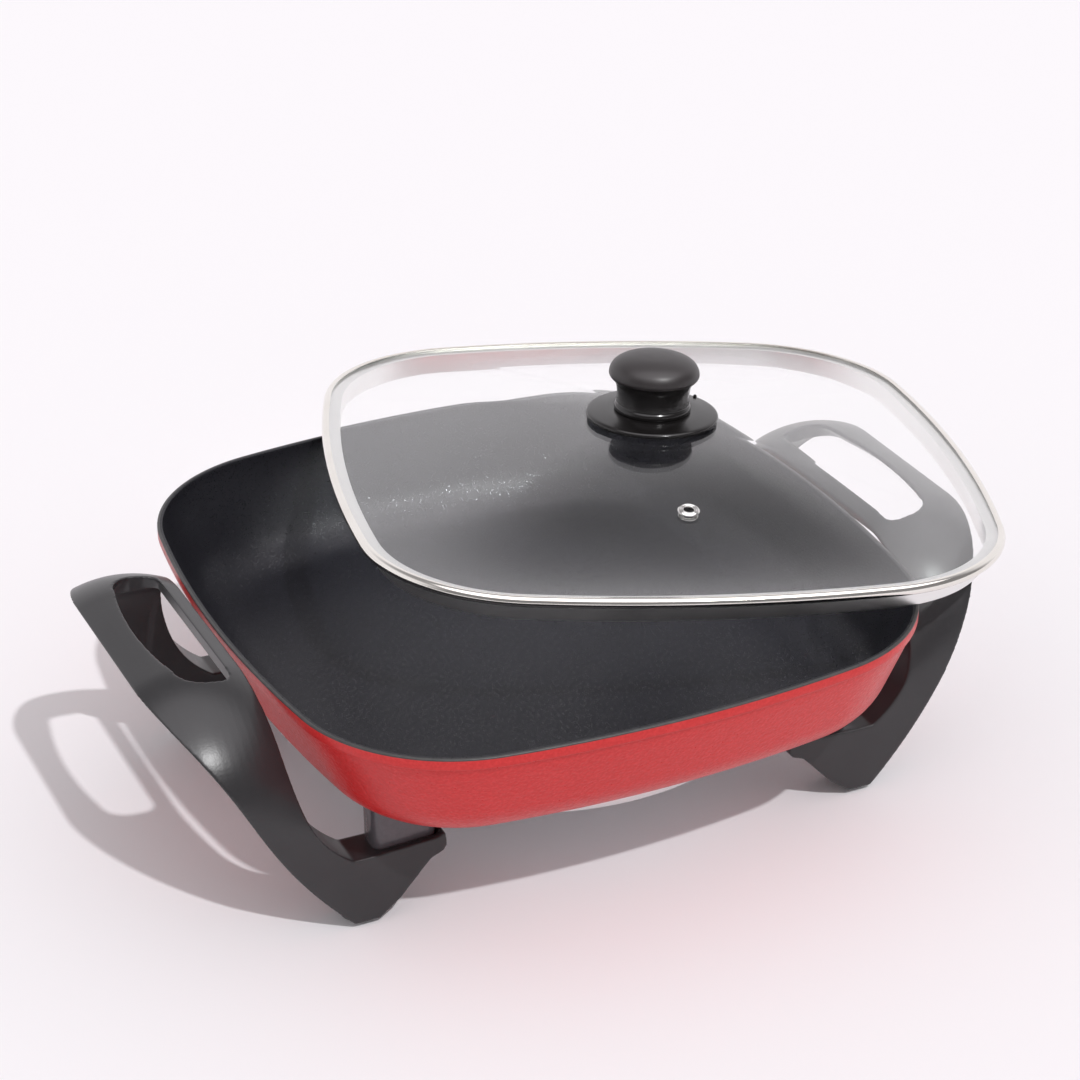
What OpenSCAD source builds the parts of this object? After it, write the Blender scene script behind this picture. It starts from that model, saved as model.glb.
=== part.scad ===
// Electric skillet: a square cast pan on two arched handle-legs, with a lift-off domed glass lid
// that lies askew on the rim. Millimetres, +Z up, origin on the table under the centre of the pan.
// The handles stand at -X and +X; the front is -Y.

/* [Pan] */
// Height of the rim above the table
rim_z = 119; // [112:1:130]
// Half the width of the rim, from handle side to handle side
rim_half_x = 170; // [164:1:174]
// Half the depth of the rim, front to back
rim_half_y = 180.5; // [172:0.5:188]
// Radius of the four rounded corners
corner_r = 85; // [75:1:95]
// Bow radius of the two sides that face the handles
side_bow_r = 714; // [500:1:1000]
// Bow radius of the front and back sides
front_bow_r = 611; // [450:1:900]
// Depth of the casting from rim to underside
pan_depth = 59; // [52:1:60]
// Thickness of the wall, measured level
wall_t = 2.9; // [2.4:0.1:3.6]
// Thickness of the floor
floor_t = 4.5; // [3.5:0.1:5.5]
// Radius between wall and underside
heel_r = 34; // [26:1:42]
// Lean of the wall from upright, in degrees
wall_lean = 21.8; // [14:0.1:25]
// Height of the plain band round the rim
band_h = 5; // [3:0.5:8]
// Step from the band in to the wall
band_step = 1; // [0.6:0.1:1.6]

/* [Heater] */
// Radius of the element's ring
ring_r = 88; // [76:1:94]
// Radius of the element's sheath
sheath_r = 3.4; // [2.8:0.1:4.2]
// Width of the cast ring that holds the element
ring_rib_w = 16; // [13:0.5:22]
// Height of the cast ring under the floor
ring_rib_h = 9; // [8:0.5:12]
// Bend radius of the element's cold ends
cold_bend_r = 10; // [8:0.5:14]
// Half the opening in the ring, in degrees
ring_gap = 14; // [13:0.5:18]
// Radius of a terminal pin
pin_r = 2.4; // [2:0.1:2.6]
// Free length of a terminal pin
pin_len = 29; // [20:1:32]

/* [Inlet] */
// Width of the inlet shroud
shroud_w = 54; // [50:1:60]
// Height of the inlet shroud
shroud_h = 16; // [15:0.5:18]
// Length of the inlet shroud
shroud_len = 44; // [38:1:52]
// Sheet of the inlet shroud
shroud_t = 1.2; // [0.8:0.1:1.6]
// Thickness of the insulator block
insulator_t = 8; // [5:0.5:10]
// Outer radius of the thermostat's probe tube
probe_r = 4.5; // [4:0.1:5]
// Bore radius of the probe tube
probe_bore_r = 3.5; // [2.5:0.1:3.6]
// Length of the probe tube
probe_len = 70; // [62:1:72]
// Radius of a shroud screw
shroud_screw_r = 1.5; // [1.2:0.1:1.8]

/* [Bottom cover] */
// Outer radius of the polished bottom cover
cover_r = 129.5; // [122:0.5:131]
// Depth of the cover
cover_h = 18; // [18:0.5:21]
// Sheet of the cover
cover_t = 0.8; // [0.6:0.1:1.2]
// Radius of the cover's lower edge
cover_edge_r = 7; // [4:0.5:12]
// Radius of the cover screw
cover_screw_r = 2; // [1.6:0.1:2.5]
// Radius of the cover's post on the pan
post_r = 7; // [5.5:0.5:9]

/* [Handles] */
// Height of the grip's crown over the rim
grip_rise = 6.8; // [5:0.1:9]
// Radius of the grip's crown, across its width
crown_r = 64; // [50:1:90]
// Distance from the rim to the line of the crown
crown_in = 30; // [27:0.5:33]
// Rise of the crown over the shoulders' arc
crown_up = 2.2; // [1:0.1:3]
// Half the depth of a handle, front leg to rear leg
handle_half_y = 110; // [108:1:113]
// Radius of the arch's shoulders
shoulder_r = 68; // [56:1:74]
// Thickness of the grip at its crown
grip_t = 10; // [9:0.5:13]
// Thickness of a leg, front to back
leg_t = 22; // [21:0.5:26]
// Radius of the shoulders on the inside
inner_shoulder_r = 38; // [30:1:45]
// Distance from the rim to the handle's inner edge
handle_gap = 3; // [2.5:0.5:6]
// Distance from the rim to the grip's outermost edge
handle_reach = 57.2; // [55:0.2:60]
// Bow of the grip's outer edge, over the slot's length
grip_bow = 2.2; // [1.5:0.1:4]
// Height of the arms' top under the rim
arm_drop = 81.5; // [79:0.5:83]
// Distance that the legs stop short of the table
leg_clear = 2.5; // [1.5:0.5:3]
// Width of the slot's rim on the pan's side
slot_rim = 7; // [6:0.5:10]
// Width of the grip outside the slot, at its middle
grip_w = 17.6; // [15:0.1:21]
// Bow radius of the slot's outer side
slot_bow_r = 221; // [180:1:400]
// Half the length of the finger slot
slot_half_y = 58; // [50:1:60]
// Thickness of the grip along the slot's outer side
slot_lip = 1.6; // [1.2:0.1:2.5]

/* [Handle fixing] */
// Distance of the lugs' centres from the middle, towards the handles
lug_x = 114; // [112:0.5:116]
// Distance of the lugs' centres from the handles' front and rear faces
lug_inset = 13; // [11:0.5:13.5]
// Width of a lug
lug_w = 33; // [28:1:34]
// Depth of a lug
lug_d = 17; // [15:0.5:17]
// Radius of a lug's corners
lug_corner_r = 5; // [3:0.5:7]
// Height of the arm's lip that closes round the lug
lug_lip_h = 3; // [1:0.5:5]
// Radius of a handle screw
screw_r = 2.45; // [2:0.05:2.5]
// Radius of a handle screw's head
screw_head_r = 4.6; // [4:0.1:5]
// Thickness of a handle screw's head
screw_head_h = 3.2; // [2.5:0.1:4]
// Plastic left between a screw's head and the lug
screw_web = 8; // [6:0.5:9]
// Depth of thread in a lug
thread_depth = 14; // [10:0.5:16]
// Distance of the rubber feet from the middle, towards the handles
foot_x = 139; // [138:0.5:140]
// Radius of a rubber foot
foot_r = 7; // [5:0.5:7.5]
// Depth of a rubber foot's seat in the leg
foot_seat = 2; // [1.5:0.5:4]

/* [Lid] */
// Overhang of the lid's bead past a rim that it covers squarely
bead_over = 3.5; // [2.5:0.5:5]
// Half the height of the bead
bead_half = 2.9; // [2.6:0.1:3.5]
// Sheet of the rim band
band_t = 0.8; // [0.6:0.1:1]
// Distance of the skirt inside the rim's outline
skirt_in = 5.9; // [5.5:0.1:8]
// Height of the skirt under the bead
skirt_h = 10; // [7:0.2:12]
// Thickness of the glass
glass_t = 3.8; // [3:0.1:4.5]
// Rise of the dome
dome_rise = 24.5; // [20:0.5:28]
// Exponent of the dome's curve; the higher it is, the flatter the glass runs out at its edge
dome_power = 1.85; // [1.3:0.05:2]
// Distance of the steam vent from the knob
vent_y = 103; // [80:1:120]
// Outer radius of the vent eyelet
vent_r = 5.7; // [4.5:0.1:7]
// Hole radius of the vent eyelet
vent_hole_r = 2.5; // [1.5:0.1:2.8]

/* [Lid at rest] */
// Shift of the lid towards the right handle
lid_x = 97.5; // [90:0.5:104]
// Shift of the lid to the back
lid_y = 53.5; // [46:0.5:60]
// Turn of the lid, in degrees
lid_turn = -16.5; // [-22:0.5:-10]
// Air left where the lid touches what carries it
lid_gap = 0.35; // [0.3:0.05:0.6]

/* [Knob] */
// Radius of the knob's base
base_r = 35.3; // [30:0.1:40]
// Thickness of the knob's base at its collar
base_t = 3.6; // [3.4:0.1:6]
// Radius of the knob's waist
waist_r = 19.3; // [16:0.1:21]
// Radius of the knob's head
head_r = 24.1; // [22:0.1:28]
// Height of the knob over its base
knob_h = 31.5; // [27:0.5:38]
// Radius of the knob screw
knob_screw_r = 2.4; // [2:0.1:2.8]

/* [Hidden] */
$fn = 64;
fit = 0.05;      // running clearance of screws, pins and tubes
slip = 0.3;      // clearance of loose neighbours
eps = 0.01;      // overshoot of a cut past a face

// ---- Rounded square outline -------------------------------------------------------------
// Four corner arcs joined by long bowed sides, all tangent. A grown outline keeps its centres.
side_c = [rim_half_x - side_bow_r, 0];
front_c = [0, rim_half_y - front_bow_r];
side_d = side_bow_r - corner_r;
front_d = front_bow_r - corner_r;
cc_gap = norm(side_c - front_c);
cc_along = (front_d * front_d - side_d * side_d + cc_gap * cc_gap) / (2 * cc_gap);
cc_dir = (side_c - front_c) / cc_gap;
corner_c = front_c + cc_dir * cc_along
    + [cc_dir[1], -cc_dir[0]] * sqrt(front_d * front_d - cc_along * cc_along);
side_end = atan2(corner_c[1] - side_c[1], corner_c[0] - side_c[0]);
front_end = atan2(corner_c[1] - front_c[1], corner_c[0] - front_c[0]);

function on_arc(c, r, a) = c + r * [cos(a), sin(a)];
function quarter(grow) = concat(
    [for (i = [0:2]) on_arc(side_c, side_bow_r + grow, side_end * i / 3)],
    [for (i = [0:8]) on_arc(corner_c, corner_r + grow, side_end + (front_end - side_end) * i / 9)],
    [for (i = [0:3]) on_arc(front_c, front_bow_r + grow, front_end + (90 - front_end) * i / 4)]);
function ring_points(grow) = let(q = quarter(grow), last = len(q) - 1)
    concat(q, [[0, rim_half_y + grow]], [for (i = [last:-1:0]) [-q[i][0], q[i][1]]],
           [for (i = [1:last]) [-q[i][0], -q[i][1]]], [[0, -rim_half_y - grow]],
           [for (i = [last:-1:1]) [q[i][0], -q[i][1]]]);

// How far a point lies outside the rim's outline; negative inside it
function out_by(p) = let(q = [abs(p[0]), abs(p[1])],
    from_side = atan2(q[1] - side_c[1], q[0] - side_c[0]),
    from_front = atan2(q[1] - front_c[1], q[0] - front_c[0]))
    from_side < side_end ? norm(q - side_c) - side_bow_r
    : from_front > front_end ? norm(q - front_c) - front_bow_r
    : norm(q - corner_c) - corner_r;

// Solid through loops of n points each; open ones are capped, closed ones joined end to end
module skin(pts, n, closed = false) {
    m = len(pts) / n;
    last = closed ? m - 1 : m - 2;
    sides = [for (i = [0:last]) for (j = [0:n - 1])
        let(a = i * n + j, b = i * n + (j + 1) % n, c = ((i + 1) % m) * n + (j + 1) % n,
            d = ((i + 1) % m) * n + j)
        each [[a, c, b], [a, d, c]]];
    caps = closed ? [] : [[for (j = [0:n - 1]) j], [for (j = [n - 1:-1:0]) (m - 1) * n + j]];
    polyhedron(points = pts, faces = concat(sides, caps), convexity = 6);
}

// Solid through a list of rings [grow, scale, z] of the rim's outline
module ring_loft(rings, closed = false)
    skin([for (r = rings) for (p = ring_points(r[0])) [p[0] * r[1], p[1] * r[1], r[2]]],
         len(ring_points(0)), closed);

// ---- Levels ------------------------------------------------------------------------------
underside_z = rim_z - pan_depth;
floor_z = underside_z + floor_t;
arm_top_z = rim_z - arm_drop;
grip_z = rim_z + grip_rise;
lug_y = handle_half_y - lug_inset;

// Wall of the pan: it leaves the band, leans in and runs into the heel's arc
wall_top_z = rim_z - band_h - band_step;
heel_z = underside_z + heel_r;
heel_join_z = heel_z - heel_r * sin(wall_lean);
heel_join_in = band_step + (wall_top_z - heel_join_z) * tan(wall_lean);
flat_in = heel_join_in + heel_r * cos(wall_lean);
inner_heel_r = heel_r - wall_t;
inner_heel_z = floor_z + inner_heel_r;
inner_join_z = inner_heel_z - inner_heel_r * sin(wall_lean);
inner_join_in = band_step + (wall_top_z - inner_join_z) * tan(wall_lean) + wall_t;
inner_flat_in = inner_join_in + inner_heel_r * cos(wall_lean);
rim_edge_r = 0.6;

function heel(flat, r, z, steps) = [for (i = [0:steps])
    let(a = (90 - wall_lean) * i / steps) [-(flat - r * sin(a)), 1, z - r * cos(a)]];
function reversed(list) = [for (i = [len(list) - 1:-1:0]) list[i]];
pan_rings = concat(
    heel(flat_in, heel_r, heel_z, 7),
    [[-band_step, 1, wall_top_z], [0, 1, rim_z - band_h], [0, 1, rim_z - rim_edge_r],
     [-rim_edge_r, 1, rim_z], [-(wall_t - rim_edge_r), 1, rim_z], [-wall_t, 1, rim_z - rim_edge_r],
     [-(band_step + wall_t), 1, wall_top_z]],
    reversed(heel(inner_flat_in, inner_heel_r, inner_heel_z, 7)));

// ---- Heater under the floor ---------------------------------------------------------------
sheath_z = underside_z - ring_rib_h + 1;
groove_r = sheath_r + fit;
pin_y = (ring_r + cold_bend_r) * sin(ring_gap) - cold_bend_r;
cold_x = (ring_r + cold_bend_r) * cos(ring_gap);
shroud_x = 104;                              // where the shroud starts
insulator_x = shroud_x + 2;
pin_x = insulator_x + insulator_t + 4;       // where a terminal pin leaves its cold end
probe_x = 50;                                // inner end of the probe tube
probe_boss = [16, 19];                       // length and width of the boss that holds the probe tube
shroud_screw_y = shroud_w / 2 - 7;
shroud_screw_x = shroud_x + 6 + insulator_t + 4;
shroud_screw_up = 2.6;                       // how far a shroud screw reaches into the floor
earth_y = shroud_w / 2 - shroud_t - 4;

module ring_tube(r, gap) rotate([0, 0, gap]) rotate_extrude(angle = 360 - 2 * gap)
    translate([ring_r, 0]) circle(r = r, $fn = 32);

module pan_body() {
    color("firebrick") difference() {
        union() {
            ring_loft(pan_rings);
            heater_rib();
            translate([0, 0, underside_z - cover_h + cover_t + slip / 3])
                cylinder(r = post_r, h = cover_h - cover_t - slip / 3 + 1);
            translate([probe_x + 2, -probe_boss[1] / 2, sheath_z - probe_r - 2.5])
                cube([probe_boss[0], probe_boss[1], underside_z + 1 - (sheath_z - probe_r - 2.5)]);
            difference() {
                for (sx = [-1, 1]) for (sy = [-1, 1]) translate([sx * lug_x, sy * lug_y, arm_top_z]) lug();
                translate([0, 0, underside_z - cover_h - slip]) cylinder(r = cover_r + slip, h = cover_h + slip);
            }
        }
        for (sx = [-1, 1]) for (sy = [-1, 1]) translate([sx * lug_x, sy * lug_y, arm_top_z - eps])
            cylinder(r = screw_r + fit, h = thread_depth);
        translate([0, 0, underside_z - cover_h]) cylinder(r = cover_screw_r + fit, h = cover_h - 2);
        translate([probe_x - eps, 0, sheath_z]) rotate([0, 90, 0])
            cylinder(r = probe_r + fit, h = probe_boss[0] + 4);
        for (s = [-1, 1]) translate([shroud_screw_x, s * shroud_screw_y, underside_z - eps])
            cylinder(r = shroud_screw_r + fit, h = shroud_screw_up, $fn = 32);
    }
}

module heater_rib() rotate([0, 0, ring_gap + 1]) rotate_extrude(angle = 360 - 2 * ring_gap - 2)
    difference() {
        translate([ring_r - ring_rib_w / 2, underside_z - ring_rib_h])
            square([ring_rib_w, ring_rib_h + 1]);
        translate([ring_r, sheath_z]) circle(r = groove_r, $fn = 32);
        translate([ring_r - groove_r, underside_z - ring_rib_h - 1])
            square([2 * groove_r, sheath_z - underside_z + ring_rib_h + 1]);
    }

// A cast lug: a block with rounded corners that carries one end of a handle
module lug() linear_extrude(underside_z - arm_top_z + floor_t * 0.8)
    polygon([for (c = [[1, 1, 0], [-1, 1, 90], [-1, -1, 180], [1, -1, 270]]) for (i = [0:4])
        on_arc([c[0] * (lug_w / 2 - lug_corner_r), c[1] * (lug_d / 2 - lug_corner_r)],
               lug_corner_r, c[2] + 90 * i / 4)]);

module heating_element() {
    color("gray") {
        translate([0, 0, sheath_z]) ring_tube(sheath_r, ring_gap);
        for (s = [0, 1]) mirror([0, s, 0]) translate([0, 0, sheath_z]) {
            translate([(ring_r + cold_bend_r) * cos(ring_gap), (ring_r + cold_bend_r) * sin(ring_gap)])
                rotate([0, 0, 180 + ring_gap]) rotate_extrude(angle = 90 - ring_gap)
                    translate([cold_bend_r, 0]) circle(r = sheath_r, $fn = 32);
            translate([cold_x, pin_y, 0]) rotate([0, 90, 0])
                cylinder(r = sheath_r, h = pin_x - cold_x, $fn = 32);
            rotate([0, 0, ring_gap]) translate([ring_r, 0, 0]) rotate([90, 0, 0]) collar();
            translate([cold_x, pin_y, 0]) rotate([0, 90, 0]) collar();
        }
    }
}

// Swaged collar at a joint of the sheath
module collar() cylinder(r = sheath_r + 0.3, h = 1.6, center = true, $fn = 32);

module terminal_pins() {
    color("silver") for (s = [-1, 1]) translate([pin_x, s * pin_y, sheath_z]) rotate([0, 90, 0]) {
        cylinder(r = pin_r, h = pin_len - pin_r, $fn = 32);
        translate([0, 0, pin_len - pin_r]) cylinder(r1 = pin_r, r2 = pin_r / 2, h = pin_r, $fn = 32);
    }
}

shroud_top = underside_z - slip / 3;
module inlet_shroud() {
    color("lightsteelblue") difference() {
        translate([shroud_x, -shroud_w / 2, shroud_top - shroud_h])
            cube([shroud_len, shroud_w, shroud_h]);
        translate([shroud_x - 1, -shroud_w / 2 + shroud_t, shroud_top - shroud_h + shroud_t])
            cube([shroud_len + 2, shroud_w - 2 * shroud_t, shroud_h - 2 * shroud_t]);
        for (s = [-1, 1]) translate([shroud_screw_x, s * shroud_screw_y, shroud_top - shroud_t - 1])
            cylinder(r = shroud_screw_r + fit, h = shroud_t + 2, $fn = 32);
    }
}

module inlet_insulator() {
    color("linen") difference() {
        translate([insulator_x, -shroud_w / 2 + shroud_t + fit, shroud_top - shroud_h + shroud_t + fit])
            cube([insulator_t, shroud_w - 2 * shroud_t - 2 * fit, shroud_h - 2 * shroud_t - 2 * fit]);
        for (s = [-1, 1]) translate([insulator_x - 1, s * pin_y, sheath_z]) rotate([0, 90, 0])
            cylinder(r = sheath_r + fit, h = insulator_t + 2, $fn = 32);
        translate([insulator_x - 1, 0, sheath_z]) rotate([0, 90, 0])
            cylinder(r = probe_r + fit, h = insulator_t + 2, $fn = 32);
    }
}

module probe_tube() {
    color("silver") translate([probe_x, 0, sheath_z]) rotate([0, 90, 0]) difference() {
        cylinder(r = probe_r, h = probe_len);
        translate([0, 0, 3]) cylinder(r = probe_bore_r, h = probe_len);
    }
}

// Spring strip that earths the thermostat: both ends lie on the shroud's side, the middle bows inwards
module earth_spring() {
    strip = [24, 6, 0.35];                   // length, width and thickness
    bow = 4;
    color("goldenrod") translate([insulator_x + insulator_t + fit, earth_y, sheath_z - strip[1] / 2])
        linear_extrude(strip[1]) polygon(concat(
            [for (i = [0:8]) [strip[0] * i / 8, 3.95 - strip[2] - bow * sin(180 * i / 8)]],
            [for (i = [8:-1:0]) [strip[0] * i / 8, 3.95 - bow * sin(180 * i / 8)]]));
}

module shroud_screws() {
    color("dimgray") for (s = [-1, 1]) translate([shroud_screw_x, s * shroud_screw_y, 0]) {
        translate([0, 0, shroud_top - shroud_t]) cylinder(r = shroud_screw_r, h = shroud_t + 2, $fn = 32);
        translate([0, 0, shroud_top - shroud_t - 1.8])
            cylinder(r = 2 * shroud_screw_r, h = 1.8, $fn = 32);
    }
}

// ---- Bottom cover -------------------------------------------------------------------------
cover_z = underside_z - cover_h;
cover_notch = [cover_r - shroud_x + 12, shroud_w + 4];

function cover_arc(r, e) = [for (i = [0:4]) on_arc([cover_r - cover_edge_r, cover_z + cover_edge_r], r, -90 + 90 * i / 4)];
module bottom_cover() {
    color("gainsboro") difference() {
        rotate_extrude($fn = 120) polygon(concat([[0, cover_z]], cover_arc(cover_edge_r),
            [[cover_r, underside_z - slip / 3], [cover_r - cover_t, underside_z - slip / 3]],
            reversed(cover_arc(cover_edge_r - cover_t)), [[0, cover_z + cover_t]]));
        translate([0, 0, cover_z - 1]) cylinder(r = cover_screw_r + fit, h = cover_t + 2);
        translate([shroud_x - 12, -cover_notch[1] / 2, cover_z + cover_t + 1])
            cube([cover_notch[0] + 12, cover_notch[1], cover_h]);
    }
}

washer_h = 1;
module cover_washer() {
    color("silver") translate([0, 0, cover_z - washer_h - fit]) difference() {
        cylinder(r = 3 * cover_screw_r, h = washer_h);
        translate([0, 0, -1]) cylinder(r = cover_screw_r + fit, h = washer_h + 2);
    }
}

module cover_screw() {
    color("silver") translate([0, 0, cover_z - washer_h - 2 * fit]) {
        cylinder(r = cover_screw_r, h = cover_h - 4);
        translate([0, 0, -2.2]) difference() {
            cylinder(r = 2.1 * cover_screw_r, h = 2.2);
            translate([-0.6, -3, -1]) cube([1.2, 6, 2]);
            translate([-3, -0.6, -1]) cube([6, 1.2, 2]);
        }
    }
}

// ---- Handles ------------------------------------------------------------------------------
// A handle is the overlap of a crowned arch, the leg's outline from the front and the bowed grip's
// outline from above, hollowed under the arch.
grip_out_x = rim_half_x + handle_reach;
grip_in_x = rim_half_x + handle_gap;
crown_x = rim_half_x + crown_in;
leg_bottom_z = leg_clear;
foot_out_x = foot_x + 4.5;
foot_in_x = foot_x - 8.5;
arm_tip_x = lug_x - lug_w / 2 - 3;
arm_tip_z = arm_top_z - 7;
plan_bow_r = (slot_half_y * slot_half_y + grip_bow * grip_bow) / (2 * grip_bow);

function bezier(p, t) = pow(1 - t, 3) * p[0] + 3 * t * pow(1 - t, 2) * p[1]
    + 3 * t * t * (1 - t) * p[2] + pow(t, 3) * p[3];
leg_outer = [[grip_out_x + 4.8, grip_z + 1], [grip_out_x - 40.3, rim_z - 34.4],
             [grip_out_x - 30.9, rim_z - 62.2], [foot_out_x, leg_bottom_z]];
leg_inner = [[grip_in_x + 0.2, grip_z + 1], [grip_in_x - 6.8, rim_z - 31.4],
             [grip_in_x + 0.8, rim_z - 60], [foot_x + 2, arm_top_z]];
front_outline = concat(
    [for (i = [0:16]) bezier(leg_outer, i / 16)],
    [[foot_in_x, leg_bottom_z], [foot_in_x - 11, leg_bottom_z + 8.5], [arm_tip_x + 8.5, arm_tip_z - 1.5],
     [arm_tip_x + 2, arm_tip_z + 1], [arm_tip_x, arm_tip_z + 4], [arm_tip_x + 0.5, arm_top_z]],
    [for (i = [12:-1:0]) bezier(leg_inner, i / 12)]);

// The arch's shoulders are arcs about the x axis. The grip is crowned across its width; the crown
// runs out on the shoulders, so that the legs' front and rear faces are flat.
shoulder_y = handle_half_y - shoulder_r;
shoulder_z = grip_z - shoulder_r - crown_up;
crown_run = [50, 90];                        // where on the shoulder the crown starts to run out, and ends
function crown_drop(x) = let(d = max(-0.6 * crown_r, min(x - crown_x, 0.6 * crown_r)))
    crown_r - sqrt(crown_r * crown_r - d * d);
function crown_share(a) = let(t = max(0, (a - crown_run[0]) / (crown_run[1] - crown_run[0])))
    1 - t * t * (3 - 2 * t);
function shoulder(x, a) = let(r = shoulder_r + (crown_up - crown_drop(x)) * crown_share(a))
    [shoulder_y + r * sin(a), shoulder_z + r * cos(a)];
shoulder_steps = 12;
function arch_section(x) = let(rear = [for (i = [shoulder_steps:-1:0]) shoulder(x, 90 * i / shoulder_steps)])
    concat([[-handle_half_y, leg_bottom_z - 1], [handle_half_y, leg_bottom_z - 1]], rear,
           [for (p = reversed(rear)) [-p[0], p[1]]]);
arch_x = concat([arm_tip_x - 5], [for (i = [-4:3]) crown_x + 9 * i], [grip_out_x + 10]);
module crowned_arch() skin([for (x = arch_x) for (p = arch_section(x)) [x, p[0], p[1]]],
                           len(arch_section(crown_x)));

arch_under_z = grip_z - grip_t;
leg_in_y = handle_half_y - leg_t;
function arch_half(half, r, top, s, steps) = [for (i = [0:steps])
    let(a = 90 * i / steps) [s * (half - r + r * sin(a)), top - r + r * cos(a)]];
under_outline = concat(
    [[leg_in_y, leg_bottom_z - 2]],
    reversed(arch_half(leg_in_y, inner_shoulder_r, arch_under_z, 1, 10)),
    arch_half(leg_in_y, inner_shoulder_r, arch_under_z, -1, 10),
    [[-leg_in_y, leg_bottom_z - 2]]);

function bow_x(x, y) = x - plan_bow_r + sqrt(plan_bow_r * plan_bow_r - y * y);
plan_outline = concat(
    [for (i = [-8:8]) let(y = handle_half_y * 1.01 * i / 8) [bow_x(grip_out_x, y), y]],
    [[0, handle_half_y * 1.01], [0, -handle_half_y * 1.01]]);

// Finger slot: tight corners beside the pan, wide ones outside, where its side is bowed
slot_in_x = grip_in_x + slot_rim;
slot_mid_x = grip_out_x - grip_w;
function slot_side(y) = slot_mid_x - slot_bow_r + sqrt(slot_bow_r * slot_bow_r - y * y);
slot_w = slot_side(slot_half_y) - slot_in_x;
slot_r = [0.34 * slot_w, 0.6 * slot_w];
slot_bow_y = slot_half_y - slot_r[1];
slot_out_x = slot_side(slot_bow_y);
function slot_corner(x, y, r, a) = [for (i = [0:6]) on_arc([x, y], r, a + 90 * i / 6)];
slot_outline = concat(
    [for (i = [-5:5]) let(y = slot_bow_y * i / 5) [slot_side(y), y]],
    slot_corner(slot_out_x - slot_r[1], slot_bow_y, slot_r[1], 0),
    slot_corner(slot_in_x + slot_r[0], slot_half_y - slot_r[0], slot_r[0], 90),
    slot_corner(slot_in_x + slot_r[0], slot_r[0] - slot_half_y, slot_r[0], 180),
    slot_corner(slot_out_x - slot_r[1], -slot_bow_y, slot_r[1], 270));

// The grip is hollowed from below along the slot's outer side, so that only a thin lip is left there
module slot_flare() {
    a = asin((slot_bow_y - 1) / slot_bow_r);
    depth = grip_t - crown_drop(slot_mid_x) - slot_lip + 1;
    run = 1.2 * depth;
    translate([slot_mid_x - slot_bow_r, 0, arch_under_z - 1]) rotate([0, 0, -a]) rotate_extrude(angle = 2 * a)
        polygon([[slot_bow_r - 2, 0], [slot_bow_r + run, 0], [slot_bow_r - 2, depth + 2 * depth / run]]);
}

// Lip that stands up from an arm before the lug and round its end
lip_x = foot_x + 9;
lip_front_t = lug_inset - lug_d / 2 - slip;
lip_end_t = lug_x - lug_w / 2 - arm_tip_x - slip - 0.5;
module arm_lip() intersection() {
    translate([0, handle_half_y + 5, 0]) rotate([90, 0, 0]) linear_extrude(lug_d + lug_inset)
        polygon([[lip_x, arm_top_z - 3], [lip_x, arm_top_z + 0.4 * lug_lip_h],
                 [lip_x - 10, arm_top_z + 0.3 * lug_lip_h], [arm_tip_x + 5, arm_top_z + 0.9 * lug_lip_h],
                 [arm_tip_x + 2, arm_top_z + 1.4 * lug_lip_h], [arm_tip_x + 0.5, arm_top_z + 1.3 * lug_lip_h],
                 [arm_tip_x, arm_top_z - 3]]);
    translate([arm_tip_x, leg_in_y, arm_top_z - 4]) union() {
        translate([0, leg_t - lip_front_t, 0]) cube([lip_x - arm_tip_x, lip_front_t, 4 + 2 * lug_lip_h]);
        translate([0, 1, 0]) cube([lip_end_t, leg_t - 1, 4 + 2 * lug_lip_h]);
    }
}

module handle() difference() {
    union() {
        intersection() {
            crowned_arch();
            translate([0, handle_half_y + 5, 0]) rotate([90, 0, 0])
                linear_extrude(2 * handle_half_y + 10) polygon(front_outline);
            linear_extrude(grip_z + 10) polygon(plan_outline);
        }
        for (s = [0, 1]) mirror([0, s, 0]) arm_lip();
    }
    rotate([90, 0, 90]) linear_extrude(grip_out_x + 10) polygon(under_outline);
    translate([0, 0, arch_under_z - 5]) linear_extrude(grip_t + 10) polygon(slot_outline);
    slot_flare();
    for (s = [-1, 1]) {
        translate([lug_x, s * lug_y, 0]) {
            cylinder(r = screw_r + slip, h = rim_z, $fn = 32);
            cylinder(r = screw_head_r + slip, h = arm_top_z - screw_web, $fn = 32);
        }
        translate([foot_x, s * lug_y, 0]) cylinder(r = foot_r + fit, h = leg_bottom_z + foot_seat);
    }
}
module handle_left() { color("dimgray") mirror([1, 0, 0]) handle(); }
module handle_right() { color("dimgray") handle(); }

module handle_screws(sx) for (sy = [-1, 1])
    translate([sx * lug_x, sy * lug_y, arm_top_z - screw_web - screw_head_h]) difference() {
        union() {
            cylinder(r = screw_head_r, h = screw_head_h, $fn = 32);
            cylinder(r = screw_r, h = screw_head_h + screw_web + thread_depth - 2, $fn = 32);
        }
        translate([-0.6, -3, -1]) cube([1.2, 6, 2.4]);
        translate([-3, -0.6, -1]) cube([6, 1.2, 2.4]);
    }
module handle_screws_left() { color("silver") handle_screws(-1); }
module handle_screws_right() { color("silver") handle_screws(1); }

module foot(sx, sy) color("black") translate([sx * foot_x, sy * lug_y, 0]) {
    cylinder(r1 = foot_r - 0.8, r2 = foot_r, h = 1);
    translate([0, 0, 1]) cylinder(r = foot_r, h = leg_bottom_z + foot_seat - 1 - fit);
}
module foot_front_left() { foot(-1, -1); }
module foot_rear_left() { foot(-1, 1); }
module foot_front_right() { foot(1, -1); }
module foot_rear_right() { foot(1, 1); }

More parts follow.
